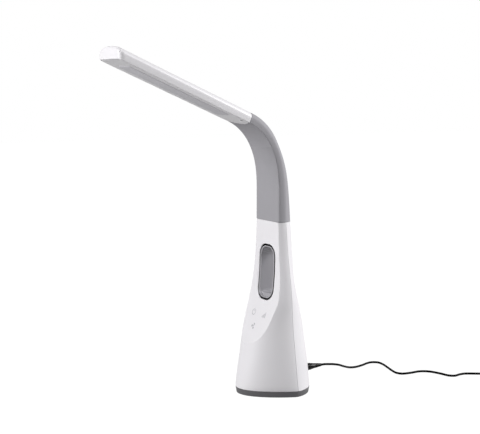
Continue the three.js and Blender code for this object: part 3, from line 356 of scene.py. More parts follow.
def dress(piece, body, slot, *replaced, finish=None):
    """Puts a piece on its body, notes the finish it gets at the end, and hides the CAD nodes it stands
    for.
    """
    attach(piece, body)
    if replaced:
        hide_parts(*replaced)
    finishes.append((piece, finish or slot))
    print(piece.name, "on", body, "faces:", len(piece.data.polygons))
    return piece


# %% [markdown]
# ## The tower's sections
#
# The tower stands on a foot that is a rounded square set on its corner, with one corner in front, and
# draws in along an S to the flatter oval of the neck. Front and rear of each section are one cubic
# curve each, and they meet at the widest place, where the two shells part. The CAD foot is a fuller
# oval of about the same width and depth, so the skin keeps the solids' sizes.

# %% Sizes of the tower in millimetres
TOWER_BOTTOM, TOWER_TOP = 8, 219
FOOT_HALF_WIDTH, FOOT_FRONT, FOOT_REAR = 51.5, 50.5, 45.7
NECK_HALF_WIDTH, NECK_FRONT, NECK_REAR = 29, 16.3, 19.3
FOOT_MIDDLE, NECK_MIDDLE = 0.5, 1
FOOT_CREASE, NECK_CREASE = 7, 2
TOWER_WALL = 2.4
# At each share of the height, how much of the way from the neck's size to the foot's is left.
HEIGHT_SHARES = (0, 0.152, 0.275, 0.36, 0.445, 0.531, 0.649, 0.815, 1)
WIDTH_SHARES = (1, 0.819, 0.67, 0.572, 0.521, 0.502, 0.381, 0.149, 0)
FRONT_SHARES = (1, 0.83, 0.70, 0.625, 0.53, 0.37, 0.135, 0.032, 0)
REAR_SHARES = (1, 0.913, 0.769, 0.678, 0.534, 0.33, 0.102, 0.064, 0)
# Where the handles of each section's curve stand, as shares of its width and depth.
REAR_SIDE_SHARES, REAR_CROWN_SHARE = (0.87, 0.48), 0.63
FOOT_REAR_SIDE_SHARES, FOOT_REAR_CROWN_SHARE = (1, 0.25), 0.72
FRONT_SIDE_SHARES, FRONT_CROWN_SHARES = (0.12, 0.68), (0.55, 0.68)  # at the foot and at the neck
FORM_POWER = 0.5  # how early the foot's form gives way to the neck's
FACET_FOOT, FACET_REACH, NECK_FLAT = 58, 36.1, 7.8
FACET_HEIGHT_SHARES = (0, 0.05, 0.112, 0.186, 0.273, 0.385, 0.54, 0.758, 1)
FACET_SHARES = (1, 0.842, 0.643, 0.474, 0.324, 0.141, 0.042, 0.006, 0)
FRONT_STEPS, REAR_STEPS, TOWER_STEPS = 26, 18, 60
print("foot", 2 * FOOT_HALF_WIDTH, "x", FOOT_FRONT + FOOT_REAR, "mm, neck", 2 * NECK_HALF_WIDTH, "mm")


# %% Smooth curves up the tower
def smooth(places, values):
    """A smooth curve through values at given places, which runs out unbent at both ends."""
    def curve(place):
        place = min(max(place, places[0]), places[-1])
        end = next(i for i in range(1, len(places)) if place <= places[i])
        start = end - 1
        before = end if start == 0 else start - 1
        after = start if end == len(places) - 1 else end + 1
        half = (places[end] - places[start]) / 2
        lead = half / (places[start] - places[before])
        trail = half / (places[after] - places[end])
        p = (place - places[start]) / (places[end] - places[start])
        return (values[before] * lead * (-p**3 + 2 * p**2 - p)
                + values[start] * ((1 + lead) * p**3 - (1.5 + 2 * lead) * p**2 + (lead - 0.5) * p + 1)
                + values[end] * ((-1 - trail) * p**3 + (1.5 + trail) * p**2 + 0.5 * p)
                + values[after] * trail * (p**3 - p**2))
    return curve


width_at = smooth(HEIGHT_SHARES, WIDTH_SHARES)
front_at = smooth(HEIGHT_SHARES, FRONT_SHARES)
rear_at = smooth(HEIGHT_SHARES, REAR_SHARES)
facet_curve = smooth(FACET_HEIGHT_SHARES, FACET_SHARES)


def tower_share(height):
    return (height - TOWER_BOTTOM) / (TOWER_TOP - TOWER_BOTTOM)


def rear_depth(height):
    return mix(NECK_REAR, FOOT_REAR, rear_at(tower_share(height)))


def crease_at(height):
    return mix(FOOT_CREASE, NECK_CREASE, tower_share(height))


def facet_at(height):
    share = (height - FACET_FOOT) / (TOWER_TOP - FACET_FOOT)
    return -(NECK_FLAT + FACET_REACH * facet_curve(share))


print("facet from", round(facet_at(FACET_FOOT), 1), "to", round(facet_at(TOWER_TOP), 1), "mm")


# %% Sections of the tower
def bezier(points, steps):
    """A Bezier curve of any degree as steps + 1 points."""
    line = []
    for step in range(steps + 1):
        level = [Vector(point) for point in points]
        while len(level) > 1:
            level = [a.lerp(b, step / steps) for a, b in zip(level, level[1:])]
        line.append(level[0])
    return line


def crown_curve(half_width, crease, crown, side_shares, crown_share, steps):
    """A quarter of a section, from the crease at its side to the middle of its crown."""
    return bezier([
        (half_width, crease),
        (half_width * side_shares[0], mix(crease, crown, side_shares[1])),
        (half_width * crown_share, crown),
        (0, crown),
    ], steps)


def mirrored(points):
    return [Vector((-point.x, point.y)) for point in reversed(points)]


def section_form(height):
    """Share of the neck's form in the section at a height."""
    return max(tower_share(height), 0) ** FORM_POWER


def rear_curve(half_width, height, depth):
    form = section_form(height)
    side_shares = [mix(foot, neck, form) for foot, neck in zip(FOOT_REAR_SIDE_SHARES, REAR_SIDE_SHARES)]
    crown_share = mix(FOOT_REAR_CROWN_SHARE, REAR_CROWN_SHARE, form)
    return crown_curve(half_width, crease_at(height), depth, side_shares, crown_share, REAR_STEPS)


def tower_section(height, inset=0):
    """The section at one height, from the right crease round the rear and back round the front."""
    share, form = tower_share(height), section_form(height)
    half_width = mix(NECK_HALF_WIDTH, FOOT_HALF_WIDTH, width_at(share)) - inset
    nose = mix(FOOT_MIDDLE, NECK_MIDDLE, share) - mix(NECK_FRONT, FOOT_FRONT, front_at(share)) + inset
    front = crown_curve(half_width, crease_at(height), nose, (1, mix(*FRONT_SIDE_SHARES, form)),
                        mix(*FRONT_CROWN_SHARES, form), FRONT_STEPS)
    rear = rear_curve(half_width, height, rear_depth(height) - inset)
    left = mirrored(front)[::-1][1:-1]
    right = front[::-1][:-1]
    return rear + mirrored(rear)[1:] + left + right


def lifted(section, height):
    return [Vector((point.x, point.y, height)) for point in section]


def tower_sections(inset, low, high, steps=TOWER_STEPS):
    heights = [mix(low, high, step / steps) for step in range(steps + 1)]
    return [lifted(tower_section(height, inset), height) for height in heights]


print("points in a section:", len(tower_section(TOWER_BOTTOM)))

# %% [markdown]
# ## The two shells
#
# The front of the tower is sliced by a smooth slide, the facet, which carries the touch keys. A slice
# is a boolean: a skin for the outside, a second one drawn in by the wall for the inside, and a prism
# for everything in front of the facet. The prism's side is ruled straight across the lamp, which is
# what makes the facet's crease so clean. The window's loops all have round corners, which are quarter
# arcs about four centres.

# %% Window outline
WINDOW_HALF_WIDTH, WINDOW_BOTTOM, WINDOW_TOP, WINDOW_CORNER = 19, 118.3, 188.9, 15
WINDOW_RIM = 1.5
CORNER_STEPS, STRAIGHT_STEPS = 12, 10


def quarter_arcs(centres, steps):
    """A quarter arc for each corner of a loop, whose centres come as x, y and radius."""
    arcs = []
    for quarter, (x, y, radius) in enumerate(centres):
        turns = [math.pi / 2 * (quarter + step / steps) for step in range(steps + 1)]
        arcs.append([(x + radius * math.cos(turn), y + radius * math.sin(turn)) for turn in turns])
    return arcs


def window_loop(insets, corner, depth_at, foot_corner=None):
    """A loop with round corners, drawn in from the window's sides, top and bottom."""
    side, top, bottom = insets
    foot = corner if foot_corner is None else foot_corner
    half_width = WINDOW_HALF_WIDTH - side
    high, low = WINDOW_TOP - top - corner, WINDOW_BOTTOM + bottom + foot
    centres = [(half_width - corner, high, corner), (corner - half_width, high, corner),
               (foot - half_width, low, foot), (half_width - foot, low, foot)]
    arcs = [[Vector(pair) for pair in arc] for arc in quarter_arcs(centres, CORNER_STEPS)]
    loop = []
    for arc, following in zip(arcs, arcs[1:] + arcs[:1]):
        shares = [step / STRAIGHT_STEPS for step in range(1, STRAIGHT_STEPS)]
        loop += arc + [arc[-1].lerp(following[0], share) for share in shares]
    return [Vector((point.x, depth_at(point.x, point.y), point.y)) for point in loop]


def even_loop(inset, depth_at):
    return window_loop((inset, inset, inset), WINDOW_CORNER - inset, depth_at)


def behind_facet(depth):
    return lambda x, z: facet_at(z) + depth


def rear_surface(depth):
    """A depth in front of the tower's rear, at any place across it."""
    def depth_at(x, z):
        line = rear_curve(tower_section(z)[0].x, z, rear_depth(z))
        for outer, inner in zip(line, line[1:]):
            if inner.x <= abs(x) <= outer.x:
                share = (outer.x - abs(x)) / (outer.x - inner.x)
                return mix(outer.y, inner.y, share) - depth
        return line[0].y - depth
    return depth_at


print("window", 2 * WINDOW_HALF_WIDTH, "x", round(WINDOW_TOP - WINDOW_BOTTOM, 1), "mm")

# %% Facet cutter and parting tool
FAR = 80  # farther than any of the tower's sides


def facet_cutter(inset):
    """Everything in front of the facet."""
    heights = [mix(FACET_FOOT, TOWER_TOP, step / TOWER_STEPS) for step in range(TOWER_STEPS + 1)]
    line = [Vector((-FAR, facet_at(height) + inset, height)) for height in heights]
    top = line[-1] + Vector((0, 0, FAR))
    outline = [Vector((-FAR, -2 * FAR, FACET_FOOT))] + line + [top, Vector((-FAR, -2 * FAR, top.z))]
    return prism("facet_cutter", outline, Vector((2 * FAR, 0, 0)))


def behind_parting(offset):
    """Everything behind the crease in which the two shells meet."""
    low, high = TOWER_BOTTOM - FAR, TOWER_TOP + FAR
    outline = [
        Vector((-FAR, crease_at(low) + offset, low)), Vector((-FAR, 2 * FAR, low)),
        Vector((-FAR, 2 * FAR, high)), Vector((-FAR, crease_at(high) + offset, high)),
    ]
    return prism("parting", outline, Vector((2 * FAR, 0, 0)))


# %% Hollow tower
BAND_TOP = TOWER_BOTTOM - 0.5
SHELL_BOTTOM = BAND_TOP + CLEARANCE
CUT_REACH = 4  # how far a cutter runs on past an open end
tower = skin("tower_shells", tower_sections(0, SHELL_BOTTOM, TOWER_TOP))
carve(tower, facet_cutter(0))
hollow = skin("hollow", tower_sections(
    TOWER_WALL, SHELL_BOTTOM - CUT_REACH, TOWER_TOP - TOWER_WALL, TOWER_STEPS // 2))
carve(hollow, facet_cutter(TOWER_WALL))
carve(tower, hollow)
print("hollow tower faces:", len(tower.data.polygons))

# %% Collar and window
COLLAR_START, COLLAR_DEPTH, COLLAR_WALL, RIM_STEPS = 0.6, 6, 1.5, 6
WINDOW_CUT_FRONT, WINDOW_CUT_BEHIND, REAR_CUT_FRONT = 9, 2, 12
FLUSH = 0.01  # keeps two surfaces from lying in one plane
SLIT_WIDTH, LINER_NARROWING = 2.2, 1
REAR_INSET = SLIT_WIDTH + LINER_NARROWING
carve(tower, skin("collar", [
    even_loop(-WINDOW_RIM - COLLAR_WALL, behind_facet(COLLAR_START)),
    even_loop(-WINDOW_RIM - COLLAR_WALL, behind_facet(COLLAR_DEPTH)),
]), "UNION")
window_rings = [even_loop(-WINDOW_RIM, behind_facet(-WINDOW_CUT_FRONT))]
for step in range(RIM_STEPS + 1):
    turn = math.pi / 2 * step / RIM_STEPS
    window_rings.append(even_loop(
        WINDOW_RIM * (math.sin(turn) - 1), behind_facet(WINDOW_RIM * (1 - math.cos(turn)) - FLUSH)))
window_rings.append(even_loop(0, behind_facet(COLLAR_DEPTH + WINDOW_CUT_BEHIND)))
carve(tower, skin("window", window_rings))
carve(tower, skin("rear_window", [
    even_loop(REAR_INSET - CLEARANCE, lambda x, z: REAR_CUT_FRONT),
    even_loop(REAR_INSET - CLEARANCE, lambda x, z: FAR),
]))
print("with its window:", len(tower.data.polygons))

# %% Intake slots and round holes
SLOT_COUNT, SLOT_HALF_WIDTH, SLOT_HEIGHT, SLOT_PITCH, SLOTS_BOTTOM = 6, 22, 2.2, 5, 30
SLOT_STEPS = 16
JACK_HOLE, GOOSENECK_HOLE, GOOSENECK_HOLE_DEPTH = 3.05, 4.8, 8
GOOSENECK_MIDDLE = (NECK_REAR - NECK_FLAT) / 2


def round_outline(radius, place, steps=32):
    """A circle, each of whose points is put in place by a rule."""
    turns = [math.tau * step / steps for step in range(steps)]
    return [place(radius * math.cos(turn), radius * math.sin(turn)) for turn in turns]


def slot_outline(low):
    """A round-ended slot across the rear."""
    radius = SLOT_HEIGHT / 2
    reach = SLOT_HALF_WIDTH - radius
    points = []
    for step in range(SLOT_STEPS + 1):
        turn = -math.pi / 2 + math.pi * step / SLOT_STEPS
        points.append((reach + radius * math.cos(turn), radius * math.sin(turn)))
    points += [(-x, -z) for x, z in points]
    return [Vector((x, FOOT_CREASE, low + radius + z)) for x, z in points]


for index in range(SLOT_COUNT):
    carve(tower, prism("slot", slot_outline(SLOTS_BOTTOM + SLOT_PITCH * index), Vector((0, FAR, 0))))
carve(tower, prism("jack_hole", round_outline(
    JACK_HOLE, lambda x, z: Vector((x, FOOT_CREASE, jack_height + z))), Vector((0, FAR, 0))))
carve(tower, prism("neck_hole", round_outline(
    GOOSENECK_HOLE, lambda x, y: Vector((x, GOOSENECK_MIDDLE + y, TOWER_TOP - GOOSENECK_HOLE_DEPTH))),
    Vector((0, 0, FAR))))
print("tower faces:", len(tower.data.polygons))

# %% Part them along the crease
COVER_EDGE_LIMIT = 24
front_cover = tower
rear_cover = tower.copy()
rear_cover.data = tower.data.copy()
rear_cover.name = "rear_cover"
bpy.context.collection.objects.link(rear_cover)
front_cover.name = "front_cover"
carve(front_cover, behind_parting(-CLEARANCE / 2))
carve(rear_cover, behind_parting(CLEARANCE / 2), "INTERSECT")
for cover, replaced_node in ((front_cover, "front_shell"), (rear_cover, "rear_shell")):
    even(shade(round_cover(cover, COVER_EDGE_LIMIT)))
    dress(cover, "tower", "white_shell", replaced_node)

# %% [markdown]
# ## Painted shade in dark places
#
# The slit round the window swallows nearly all light, and so does the recess of the head's screw, while
# the head's underside looks away from the lamps; their shade is painted into the colour. A face can carry
# a number of its own, a face attribute, and the plastics read it later to turn dark by that share. A
# small rule, given a face's middle and its normal, says how much.

# %% Paint shade into the slit
# Painted shade: the slit's walls take a near black colour, and the side that faces the lamps takes less
# of it.
SLIT_MARGIN, RIM_SHARE = 0.2, 0.8  # how far round the window, and how deep in its rim, the dark starts
LIT_SHARE, LIT_SLOPE = 0.55, 0.7  # the slit's side that faces the light is lighter


def paint_shade(piece, share_at):
    """Gives each face its share of painted shade."""
    shares = piece.data.attributes.new("dark", "FLOAT", "FACE")
    for face in piece.data.polygons:
        shares.data[face.index].value = float(share_at(face.center / MM, face.normal))


# Painted shade for a face in the slit round the window, lighter on the side that faces the lamps.
def painted_slit_shade(spot, normal):
    depth = spot.y - facet_at(spot.z)
    beside = (abs(spot.x) < WINDOW_HALF_WIDTH + SLIT_MARGIN
              and WINDOW_BOTTOM - SLIT_MARGIN < spot.z < WINDOW_TOP + SLIT_MARGIN)
    lit = LIT_SHARE if normal.x > LIT_SLOPE else 0
    return (1 - lit) * (beside and WINDOW_RIM * RIM_SHARE < depth < COLLAR_DEPTH + WINDOW_CUT_BEHIND)


# Paint the slit's shade onto both covers.
for cover in (front_cover, rear_cover):
    paint_shade(cover, painted_slit_shade)
    print(cover.name, "dark faces:", sum(share.value > 0 for share in cover.data.attributes["dark"].data))

# %% [markdown]
# ## The window liner
#
# Behind a narrow dark slit stands a grey liner: a flat lip, a short mouth, and a throat with a level
# floor that opens to the rear. All its rings are the same round-cornered loop with other insets and
# depths, so one skin that closes on itself makes the whole liner.

# %% Model the liner
LIP_SIDE, LIP_END, LIP_DEPTH, LINER_WALL = 2, 1.3, 0.4, 1.5
MOUTH_DEPTH, MOUTH_DRAFT, MOUTH_CORNER = 3, 0.3, 11.5
THROAT_CORNER, THROAT_FLOOR, THROAT_RISE = 3, 8.4, 1.4
ROUNDING, REAR_GAP, REAR_EDGE, LINER_LIMIT = 0.4, 0.1, 0.97, 34


def liner_loop(side, end, corner, depth_at, floor=None, foot_corner=None):
    return window_loop((side, end, end if floor is None else floor), corner, depth_at, foot_corner)


def between(first, second, share):
    """A depth that lies at a share of the way between two others."""
    return lambda x, z: mix(first(x, z), second(x, z), share)


mouth_side, mouth_end = SLIT_WIDTH + LIP_SIDE, SLIT_WIDTH + LIP_END
throat_side, throat_end = mouth_side + MOUTH_DRAFT, mouth_end + MOUTH_DRAFT
outer_corner = WINDOW_CORNER - SLIT_WIDTH
rear_side = REAR_INSET + LINER_WALL
lip, lip_edge = behind_facet(LIP_DEPTH), behind_facet(LIP_DEPTH + ROUNDING)
ledge, rear = behind_facet(MOUTH_DEPTH), rear_surface(REAR_GAP)
liner = skin("window_liner", [
    liner_loop(SLIT_WIDTH, SLIT_WIDTH, outer_corner, ledge),
    liner_loop(SLIT_WIDTH, SLIT_WIDTH, outer_corner, lip_edge),
    liner_loop(SLIT_WIDTH + ROUNDING, SLIT_WIDTH + ROUNDING, outer_corner - ROUNDING, lip),
    liner_loop(mouth_side - ROUNDING, mouth_end - ROUNDING, MOUTH_CORNER + ROUNDING, lip),
    liner_loop(mouth_side, mouth_end, MOUTH_CORNER, lip_edge),
    liner_loop(throat_side, throat_end, MOUTH_CORNER, behind_facet(MOUTH_DEPTH - FLUSH)),
    liner_loop(throat_side, throat_end, MOUTH_CORNER, ledge, THROAT_FLOOR - ROUNDING, THROAT_CORNER),
    liner_loop(throat_side, throat_end, MOUTH_CORNER, behind_facet(MOUTH_DEPTH + ROUNDING), THROAT_FLOOR,
               THROAT_CORNER),
    liner_loop(rear_side, rear_side, WINDOW_CORNER - rear_side, rear, THROAT_FLOOR + THROAT_RISE,
               THROAT_CORNER),
    liner_loop(REAR_INSET + ROUNDING, REAR_INSET + ROUNDING, WINDOW_CORNER - REAR_INSET - ROUNDING, rear),
    liner_loop(REAR_INSET, REAR_INSET, WINDOW_CORNER - REAR_INSET, between(ledge, rear, REAR_EDGE)),
], looped=True)
window_middle = Vector((0, 0, (WINDOW_BOTTOM + WINDOW_TOP) / 2))


def liner_slit_shade(spot, normal):
    """True on the liner's outer wall, which takes painted shade as the slit's inner side."""
    outward = spot - window_middle
    behind_lip = spot.y > facet_at(spot.z) + LIP_DEPTH + ROUNDING
    return behind_lip and normal.x * outward.x + normal.z * outward.z > 0


# Painted shade on the liner's outer wall inside the slit.
paint_shade(shade(liner, LINER_LIMIT), liner_slit_shade)
dress(liner, "tower", "grey_liner", "air_liner")

# %% [markdown]
# ## The base tray
#
# The grey band under the tower is the rim of the base tray. It draws in a little towards the desk. The
# tray is a skin with a soft lower edge and a recess for the rubber pad, and it is drilled for a screw
# in each corner of the foot. The pad and the fan's deck follow the same sections.

# %% Model the tray
TRAY_BOTTOM, TRAY_TAPER, TRAY_FLOOR, TRAY_WALL = 0.1, 1.2, 3.5, 2.5
PAD_RECESS, PAD_CEILING = 5.7, 1.5
SCREW_SPOTS = [(42, 5), (-42, 5), (0, -41), (0, 36)]
SCREW_SEAT_RADIUS, SCREW_SEAT_TOP, SCREW_WAY_RADIUS = 3, 3, 1.6
TRAY_PROFILE = [  # how far each ring is drawn in, and its height
    (PAD_RECESS, PAD_CEILING), (PAD_RECESS, TRAY_BOTTOM), (TRAY_TAPER + 0.5, TRAY_BOTTOM),
    (TRAY_TAPER - 0.1, TRAY_BOTTOM + 0.25), (TRAY_TAPER * 0.84, TRAY_BOTTOM + 1),
    (TRAY_TAPER * 0.4, mix(TRAY_BOTTOM, BAND_TOP, 0.55)), (0.05, BAND_TOP - 0.3), (0.3, BAND_TOP),
    (TRAY_WALL, BAND_TOP), (TRAY_WALL, TRAY_FLOOR),
]


def drum(name, radius, x, y, low, high, steps=24):
    """An upright cylinder about x and y, from one height to another."""
    outline = round_outline(radius, lambda across, back: Vector((x + across, y + back, low)), steps)
    return prism(name, outline, Vector((0, 0, high - low)))


def drawn_in(inset, height):
    return lifted(tower_section(TOWER_BOTTOM, inset), height)


tray = skin("base_band", [drawn_in(inset, height) for inset, height in TRAY_PROFILE])
for x, y in SCREW_SPOTS:
    carve(tray, drum("screw_seat", SCREW_SEAT_RADIUS, x, y, 0, SCREW_SEAT_TOP))
    carve(tray, drum("screw_way", SCREW_WAY_RADIUS, x, y, 0, TRAY_FLOOR + 1))
dress(shade(tray), "tower", "grey_tray", "base_tray")

# %% Base screws
SCREW_RADIUS, SCREW_HEAD_RADIUS, SCREW_LOW, SCREW_TOP = 1.4, 2.7, 1.7, 14
SCREW_GAP, SHANK_START, DRIVE_SHARE, DRIVE_DEPTH, HEXAGON = 0.1, 0.5, 0.6, 0.7, 6
METAL_LIMIT = 40
for index, (x, y) in enumerate(SCREW_SPOTS):
    screw = drum(f"corner_screw_{index}", SCREW_HEAD_RADIUS, x, y, SCREW_LOW, SCREW_SEAT_TOP - SCREW_GAP)
    carve(screw, drum("shank", SCREW_RADIUS, x, y, SCREW_LOW + SHANK_START, SCREW_TOP), "UNION")
    carve(screw, drum("drive", SCREW_RADIUS * DRIVE_SHARE, x, y, 0, SCREW_LOW + DRIVE_DEPTH, HEXAGON))
    dress(shade(screw, METAL_LIMIT), "tower", "steel", f"base_screw_{index}")

# %% Pad and fan deck
PAD_INSET, PAD_THICKNESS, PAD_EDGE, PAD_LIMIT = 6, 1.2, 0.4, 20
DECK_LOW, DECK_THICKNESS, DECK_GAP = 60, 2, 0.5
DECK_HOLE, DECK_HOLE_STEPS, DECK_HOLE_REACH, FAN_MIDDLE = 18.4, 48, 1, 8
pad = skin("desk_pad", [
    drawn_in(PAD_INSET + PAD_EDGE, 0), drawn_in(PAD_INSET, PAD_EDGE), drawn_in(PAD_INSET, PAD_THICKNESS),
])
dress(shade(pad, PAD_LIMIT), "tower", "black_rubber", "foot_pad")
deck_outline = lifted(tower_section(DECK_LOW, TOWER_WALL + DECK_GAP), DECK_LOW)
deck = prism("fan_floor", deck_outline, Vector((0, 0, DECK_THICKNESS)))
carve(deck, drum("fan_opening", DECK_HOLE, 0, FAN_MIDDLE, DECK_LOW - DECK_HOLE_REACH,
                 DECK_LOW + DECK_THICKNESS + DECK_HOLE_REACH, DECK_HOLE_STEPS))
dress(shade(deck), "tower", "grey_tray", "fan_deck")

# %% [markdown]
# ## The arm
#
# Neck and head share one spine, a line that starts upright, bends ever more, and runs straight along
# the head. At each place on it stands a section: flat in front and below, crowned behind and above.
# The neck bends at four hinges in the CAD model.

# %% Sizes of the arm in millimetres
NECK_STRAIGHT, NECK_BEND, HEAD_TILT, BEND_GROWTH = 35.7, 104.5, math.radians(66.5), 1.65
HEAD_LENGTH = 189
NECK_LENGTH = NECK_STRAIGHT + NECK_BEND
NECK_DEPTH = NECK_REAR + NECK_FLAT
WAIST_HALF_WIDTH, TIP_HALF_WIDTH = 26.6, 31.2
NECK_SHOULDER, WAIST_SHOULDER, TIP_SHOULDER = 9.8, 6.5, 7.5
HEAD_THICKNESS = 14.9
NECK_EDGE, HEAD_EDGE = 3.1, 0.15
NECK_PLACE_SHARES = (0, 0.193, 0.465, 0.644, 0.787, 1)
NECK_THICKNESS_SHARES = (1, 0.826, 0.463, 0.2, 0.19, 0)
NECK_WIDTH_SHARES = (1, 0.85, 0.5, 0.25, 0.1, 0)
HEAD_SIDE_SHARES, HEAD_CROWN_SHARE, HEAD_FORM_SHARES = (0.97, 0.6), 0.78, (0.5, 1.1)
DOME_START, DOME_CROWN_SHARE, DOME_RISE = 0.75, 0.64, 0.8  # the last quarter of the head is crowned more
SPINE_STEPS, CROWN_STEPS, EDGE_STEPS, ARM_STEP = 60, 16, 6, 2.0
thickness_curve = smooth(NECK_PLACE_SHARES, NECK_THICKNESS_SHARES)
narrowing = smooth(NECK_PLACE_SHARES, NECK_WIDTH_SHARES)
print("arm", NECK_LENGTH, "mm of neck and", HEAD_LENGTH, "mm of head")


# %% Spine and sections
def tilt_at(place):
    share = min(max((place - NECK_STRAIGHT) / NECK_BEND, 0), 1)
    return HEAD_TILT * share ** BEND_GROWTH


def frame_at(place):
    """The arm's own frame at a place: x across, y towards the crown, z along the arm."""
    y, z = -NECK_FLAT, TOWER_TOP
    step = place / SPINE_STEPS
    for index in range(SPINE_STEPS):
        tilt = tilt_at(step * (index + 0.5))
        y -= math.sin(tilt) * step
        z += math.cos(tilt) * step
    return Matrix.Translation((0, y, z)) @ Matrix.Rotation(tilt_at(place), 4, "X")


def arm_share(place):
    return place / NECK_LENGTH if place < NECK_LENGTH else 1 + (place - NECK_LENGTH) / HEAD_LENGTH


def thickness_at(place):
    return mix(HEAD_THICKNESS, NECK_DEPTH, thickness_curve(min(max(arm_share(place), 0), 1)))


def arm_section(place, inset=0, level=0):
    """The section at a place, drawn in by an inset, with its flat side at a level."""
    share = max(arm_share(place), 0)
    neck = narrowing(min(share, 1))
    head = max(share - 1, 0)
    half_width = (mix(WAIST_HALF_WIDTH, NECK_HALF_WIDTH, neck)
                  + (TIP_HALF_WIDTH - WAIST_HALF_WIDTH) * head - inset)
    shoulder = mix(WAIST_SHOULDER, NECK_SHOULDER, neck) + (TIP_SHOULDER - WAIST_SHOULDER) * head
    flat = half_width - mix(HEAD_EDGE, NECK_EDGE, neck)
    form = smoothstep(share, *HEAD_FORM_SHARES)
    side_shares = [mix(a, b, form) for a, b in zip(REAR_SIDE_SHARES, HEAD_SIDE_SHARES)]
    dome = smoothstep(head, DOME_START, 1)
    crown_share = mix(mix(REAR_CROWN_SHARE, HEAD_CROWN_SHARE, form), DOME_CROWN_SHARE, dome)
    crown = crown_curve(half_width, shoulder, thickness_at(place) + DOME_RISE * dome - inset, side_shares,
                        crown_share, CROWN_STEPS)
    edge = bezier([(flat, level), (half_width, level), (half_width, shoulder)], EDGE_STEPS)[:-1]
    return edge + crown + mirrored(crown)[1:] + mirrored(edge)


def arm_sections(start, end, inset=0, level=0, step=ARM_STEP):
    count = math.ceil((end - start) / step)
    rings = []
    for index in range(count + 1):
        place = mix(start, end, index / count)
        local = frame_at(place)
        rings.append([local @ Vector((p.x, p.y, 0)) for p in arm_section(place, inset, level)])
    return rings


def arm_middle(place):
    return frame_at(place) @ Vector((0, thickness_at(place) / 2, 0))


head_frame = frame_at(NECK_LENGTH)
print("head root at", [round(value, 1) for value in head_frame.translation])

# %% Tongue of the underside
TONGUE_LENGTH, TONGUE_HALF_WIDTH, TONGUE_STEPS = 6, 23, 32
FRAME_THICKNESS, HEAD_WALL = 1.6, 1.8
UNDER_CUT = 6  # how far a cutter starts below the head


def tongue(name, gap, low, high):
    """The round end of the underside that runs onto the neck, as a prism in the head's frame."""
    half_width, reach = TONGUE_HALF_WIDTH + gap, TONGUE_LENGTH + gap
    radius = (half_width**2 + reach**2) / (2 * reach)
    spread = math.asin(half_width / radius)
    turns = [mix(-spread, spread, step / TONGUE_STEPS) for step in range(TONGUE_STEPS + 1)]
    line = [(radius * math.sin(turn), radius - reach - radius * math.cos(turn)) for turn in turns]
    outline = line + [(half_width, HEAD_WALL * 2), (-half_width, HEAD_WALL * 2)]
    spots = [head_frame @ Vector((x, low, z)) for x, z in outline]
    rise = head_frame.to_3x3() @ Vector((0, high - low, 0))
    return prism(name, spots, rise)


def tongue_cut():
    return tongue("tongue_cut", CLEARANCE, -UNDER_CUT, FRAME_THICKNESS + CLEARANCE)


print("tongue", 2 * TONGUE_HALF_WIDTH, "x", TONGUE_LENGTH, "mm")

# %% Four lengths of soft sleeve
HINGE_PLACES = [share * NECK_LENGTH for share in (0.185, 0.4, 0.6, 0.8)]
BLEND_REACH, SLEEVE_LIMIT = 12, 40
SLEEVE_BODIES = ("tower", "neck_1", "neck_2", "neck_3", "head")
sleeve_joins = [(a + b) / 2 for a, b in zip(HINGE_PLACES, HINGE_PLACES[1:])]
sleeve_ends = [CLEARANCE] + sleeve_joins + [NECK_LENGTH - CLEARANCE / 2]
for index, hinge in enumerate(HINGE_PLACES):
    sleeve = skin(f"soft_sleeve_{index}", arm_sections(sleeve_ends[index], sleeve_ends[index + 1]))
    if index == len(HINGE_PLACES) - 1:
        carve(sleeve, tongue_cut())
    shade(sleeve, SLEEVE_LIMIT)
    below, above = SLEEVE_BODIES[index], SLEEVE_BODIES[index + 1]
    start, end = arm_middle(hinge - BLEND_REACH), arm_middle(hinge + BLEND_REACH)
    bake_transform(sleeve)
    finishes.append((sleeve, "grey_sleeve"))
    print(sleeve.name, "bends between", below, "and", above)
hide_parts("neck_sleeve_0")
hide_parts("neck_sleeve_1")
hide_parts("neck_sleeve_2")
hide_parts("neck_sleeve_3", "neck_sleeve_4")

# %% [markdown]
# ## The light head
#
# The head is one long moulded cover with a flat plate let into its underside. Its sections lean over
# towards the tip until they stand upright, and the last ones draw in along a quarter round, so the
# tip gets its soft edges without a cut. The underside and the lens are flat plates with soft edges,
# drawn in the head's own frame.

# %% The head's own frame
HEAD_SCREW, SCREW_RECESS, SCREW_HOLE = (16, 6), 1.9, 1.2
# Painted shade: shares of dark for the faces that look down and for the screw's recess.
UNDER_PAINTED_SHADE, SCREW_PAINTED_SHADE, SCREW_MARGIN, UNDER_SLOPE = 0.05, 0.95, 0.1, 0.9


def in_head(x, y, z):
    return head_frame @ Vector((x, y, z))


def head_axis(length):
    return head_frame.to_3x3() @ Vector((0, length, 0))


def painted_head_shade(spot, normal):
    """Painted shade: faces that look down, away from every lamp, turn a little dark, and the screw's
    recess nearly black.
    """
    local = head_frame.inverted() @ spot
    if math.hypot(local.x - HEAD_SCREW[0], local.z - HEAD_SCREW[1]) < SCREW_RECESS + SCREW_MARGIN:
        return SCREW_PAINTED_SHADE
    return UNDER_PAINTED_SHADE * (normal.dot(head_axis(-1)) > UNDER_SLOPE)


print("tip at", [round(value, 1) for value in in_head(0, 0, HEAD_LENGTH)])

# %% Head cover
TIP_ROUND, TIP_STEPS, HEAD_STEP = 7, 9, 6
TIP_LEAN = 1 / math.tan(HEAD_TILT)
LEAN_START, LEAN_END = 40, 10
HEAD_EDGE_LIMIT, HEAD_EDGE_SEGMENTS, HEAD_SHADE_LIMIT = 35, 3, 30
ROD_HOLE_START, ROD_HOLE_LENGTH = -2, 6


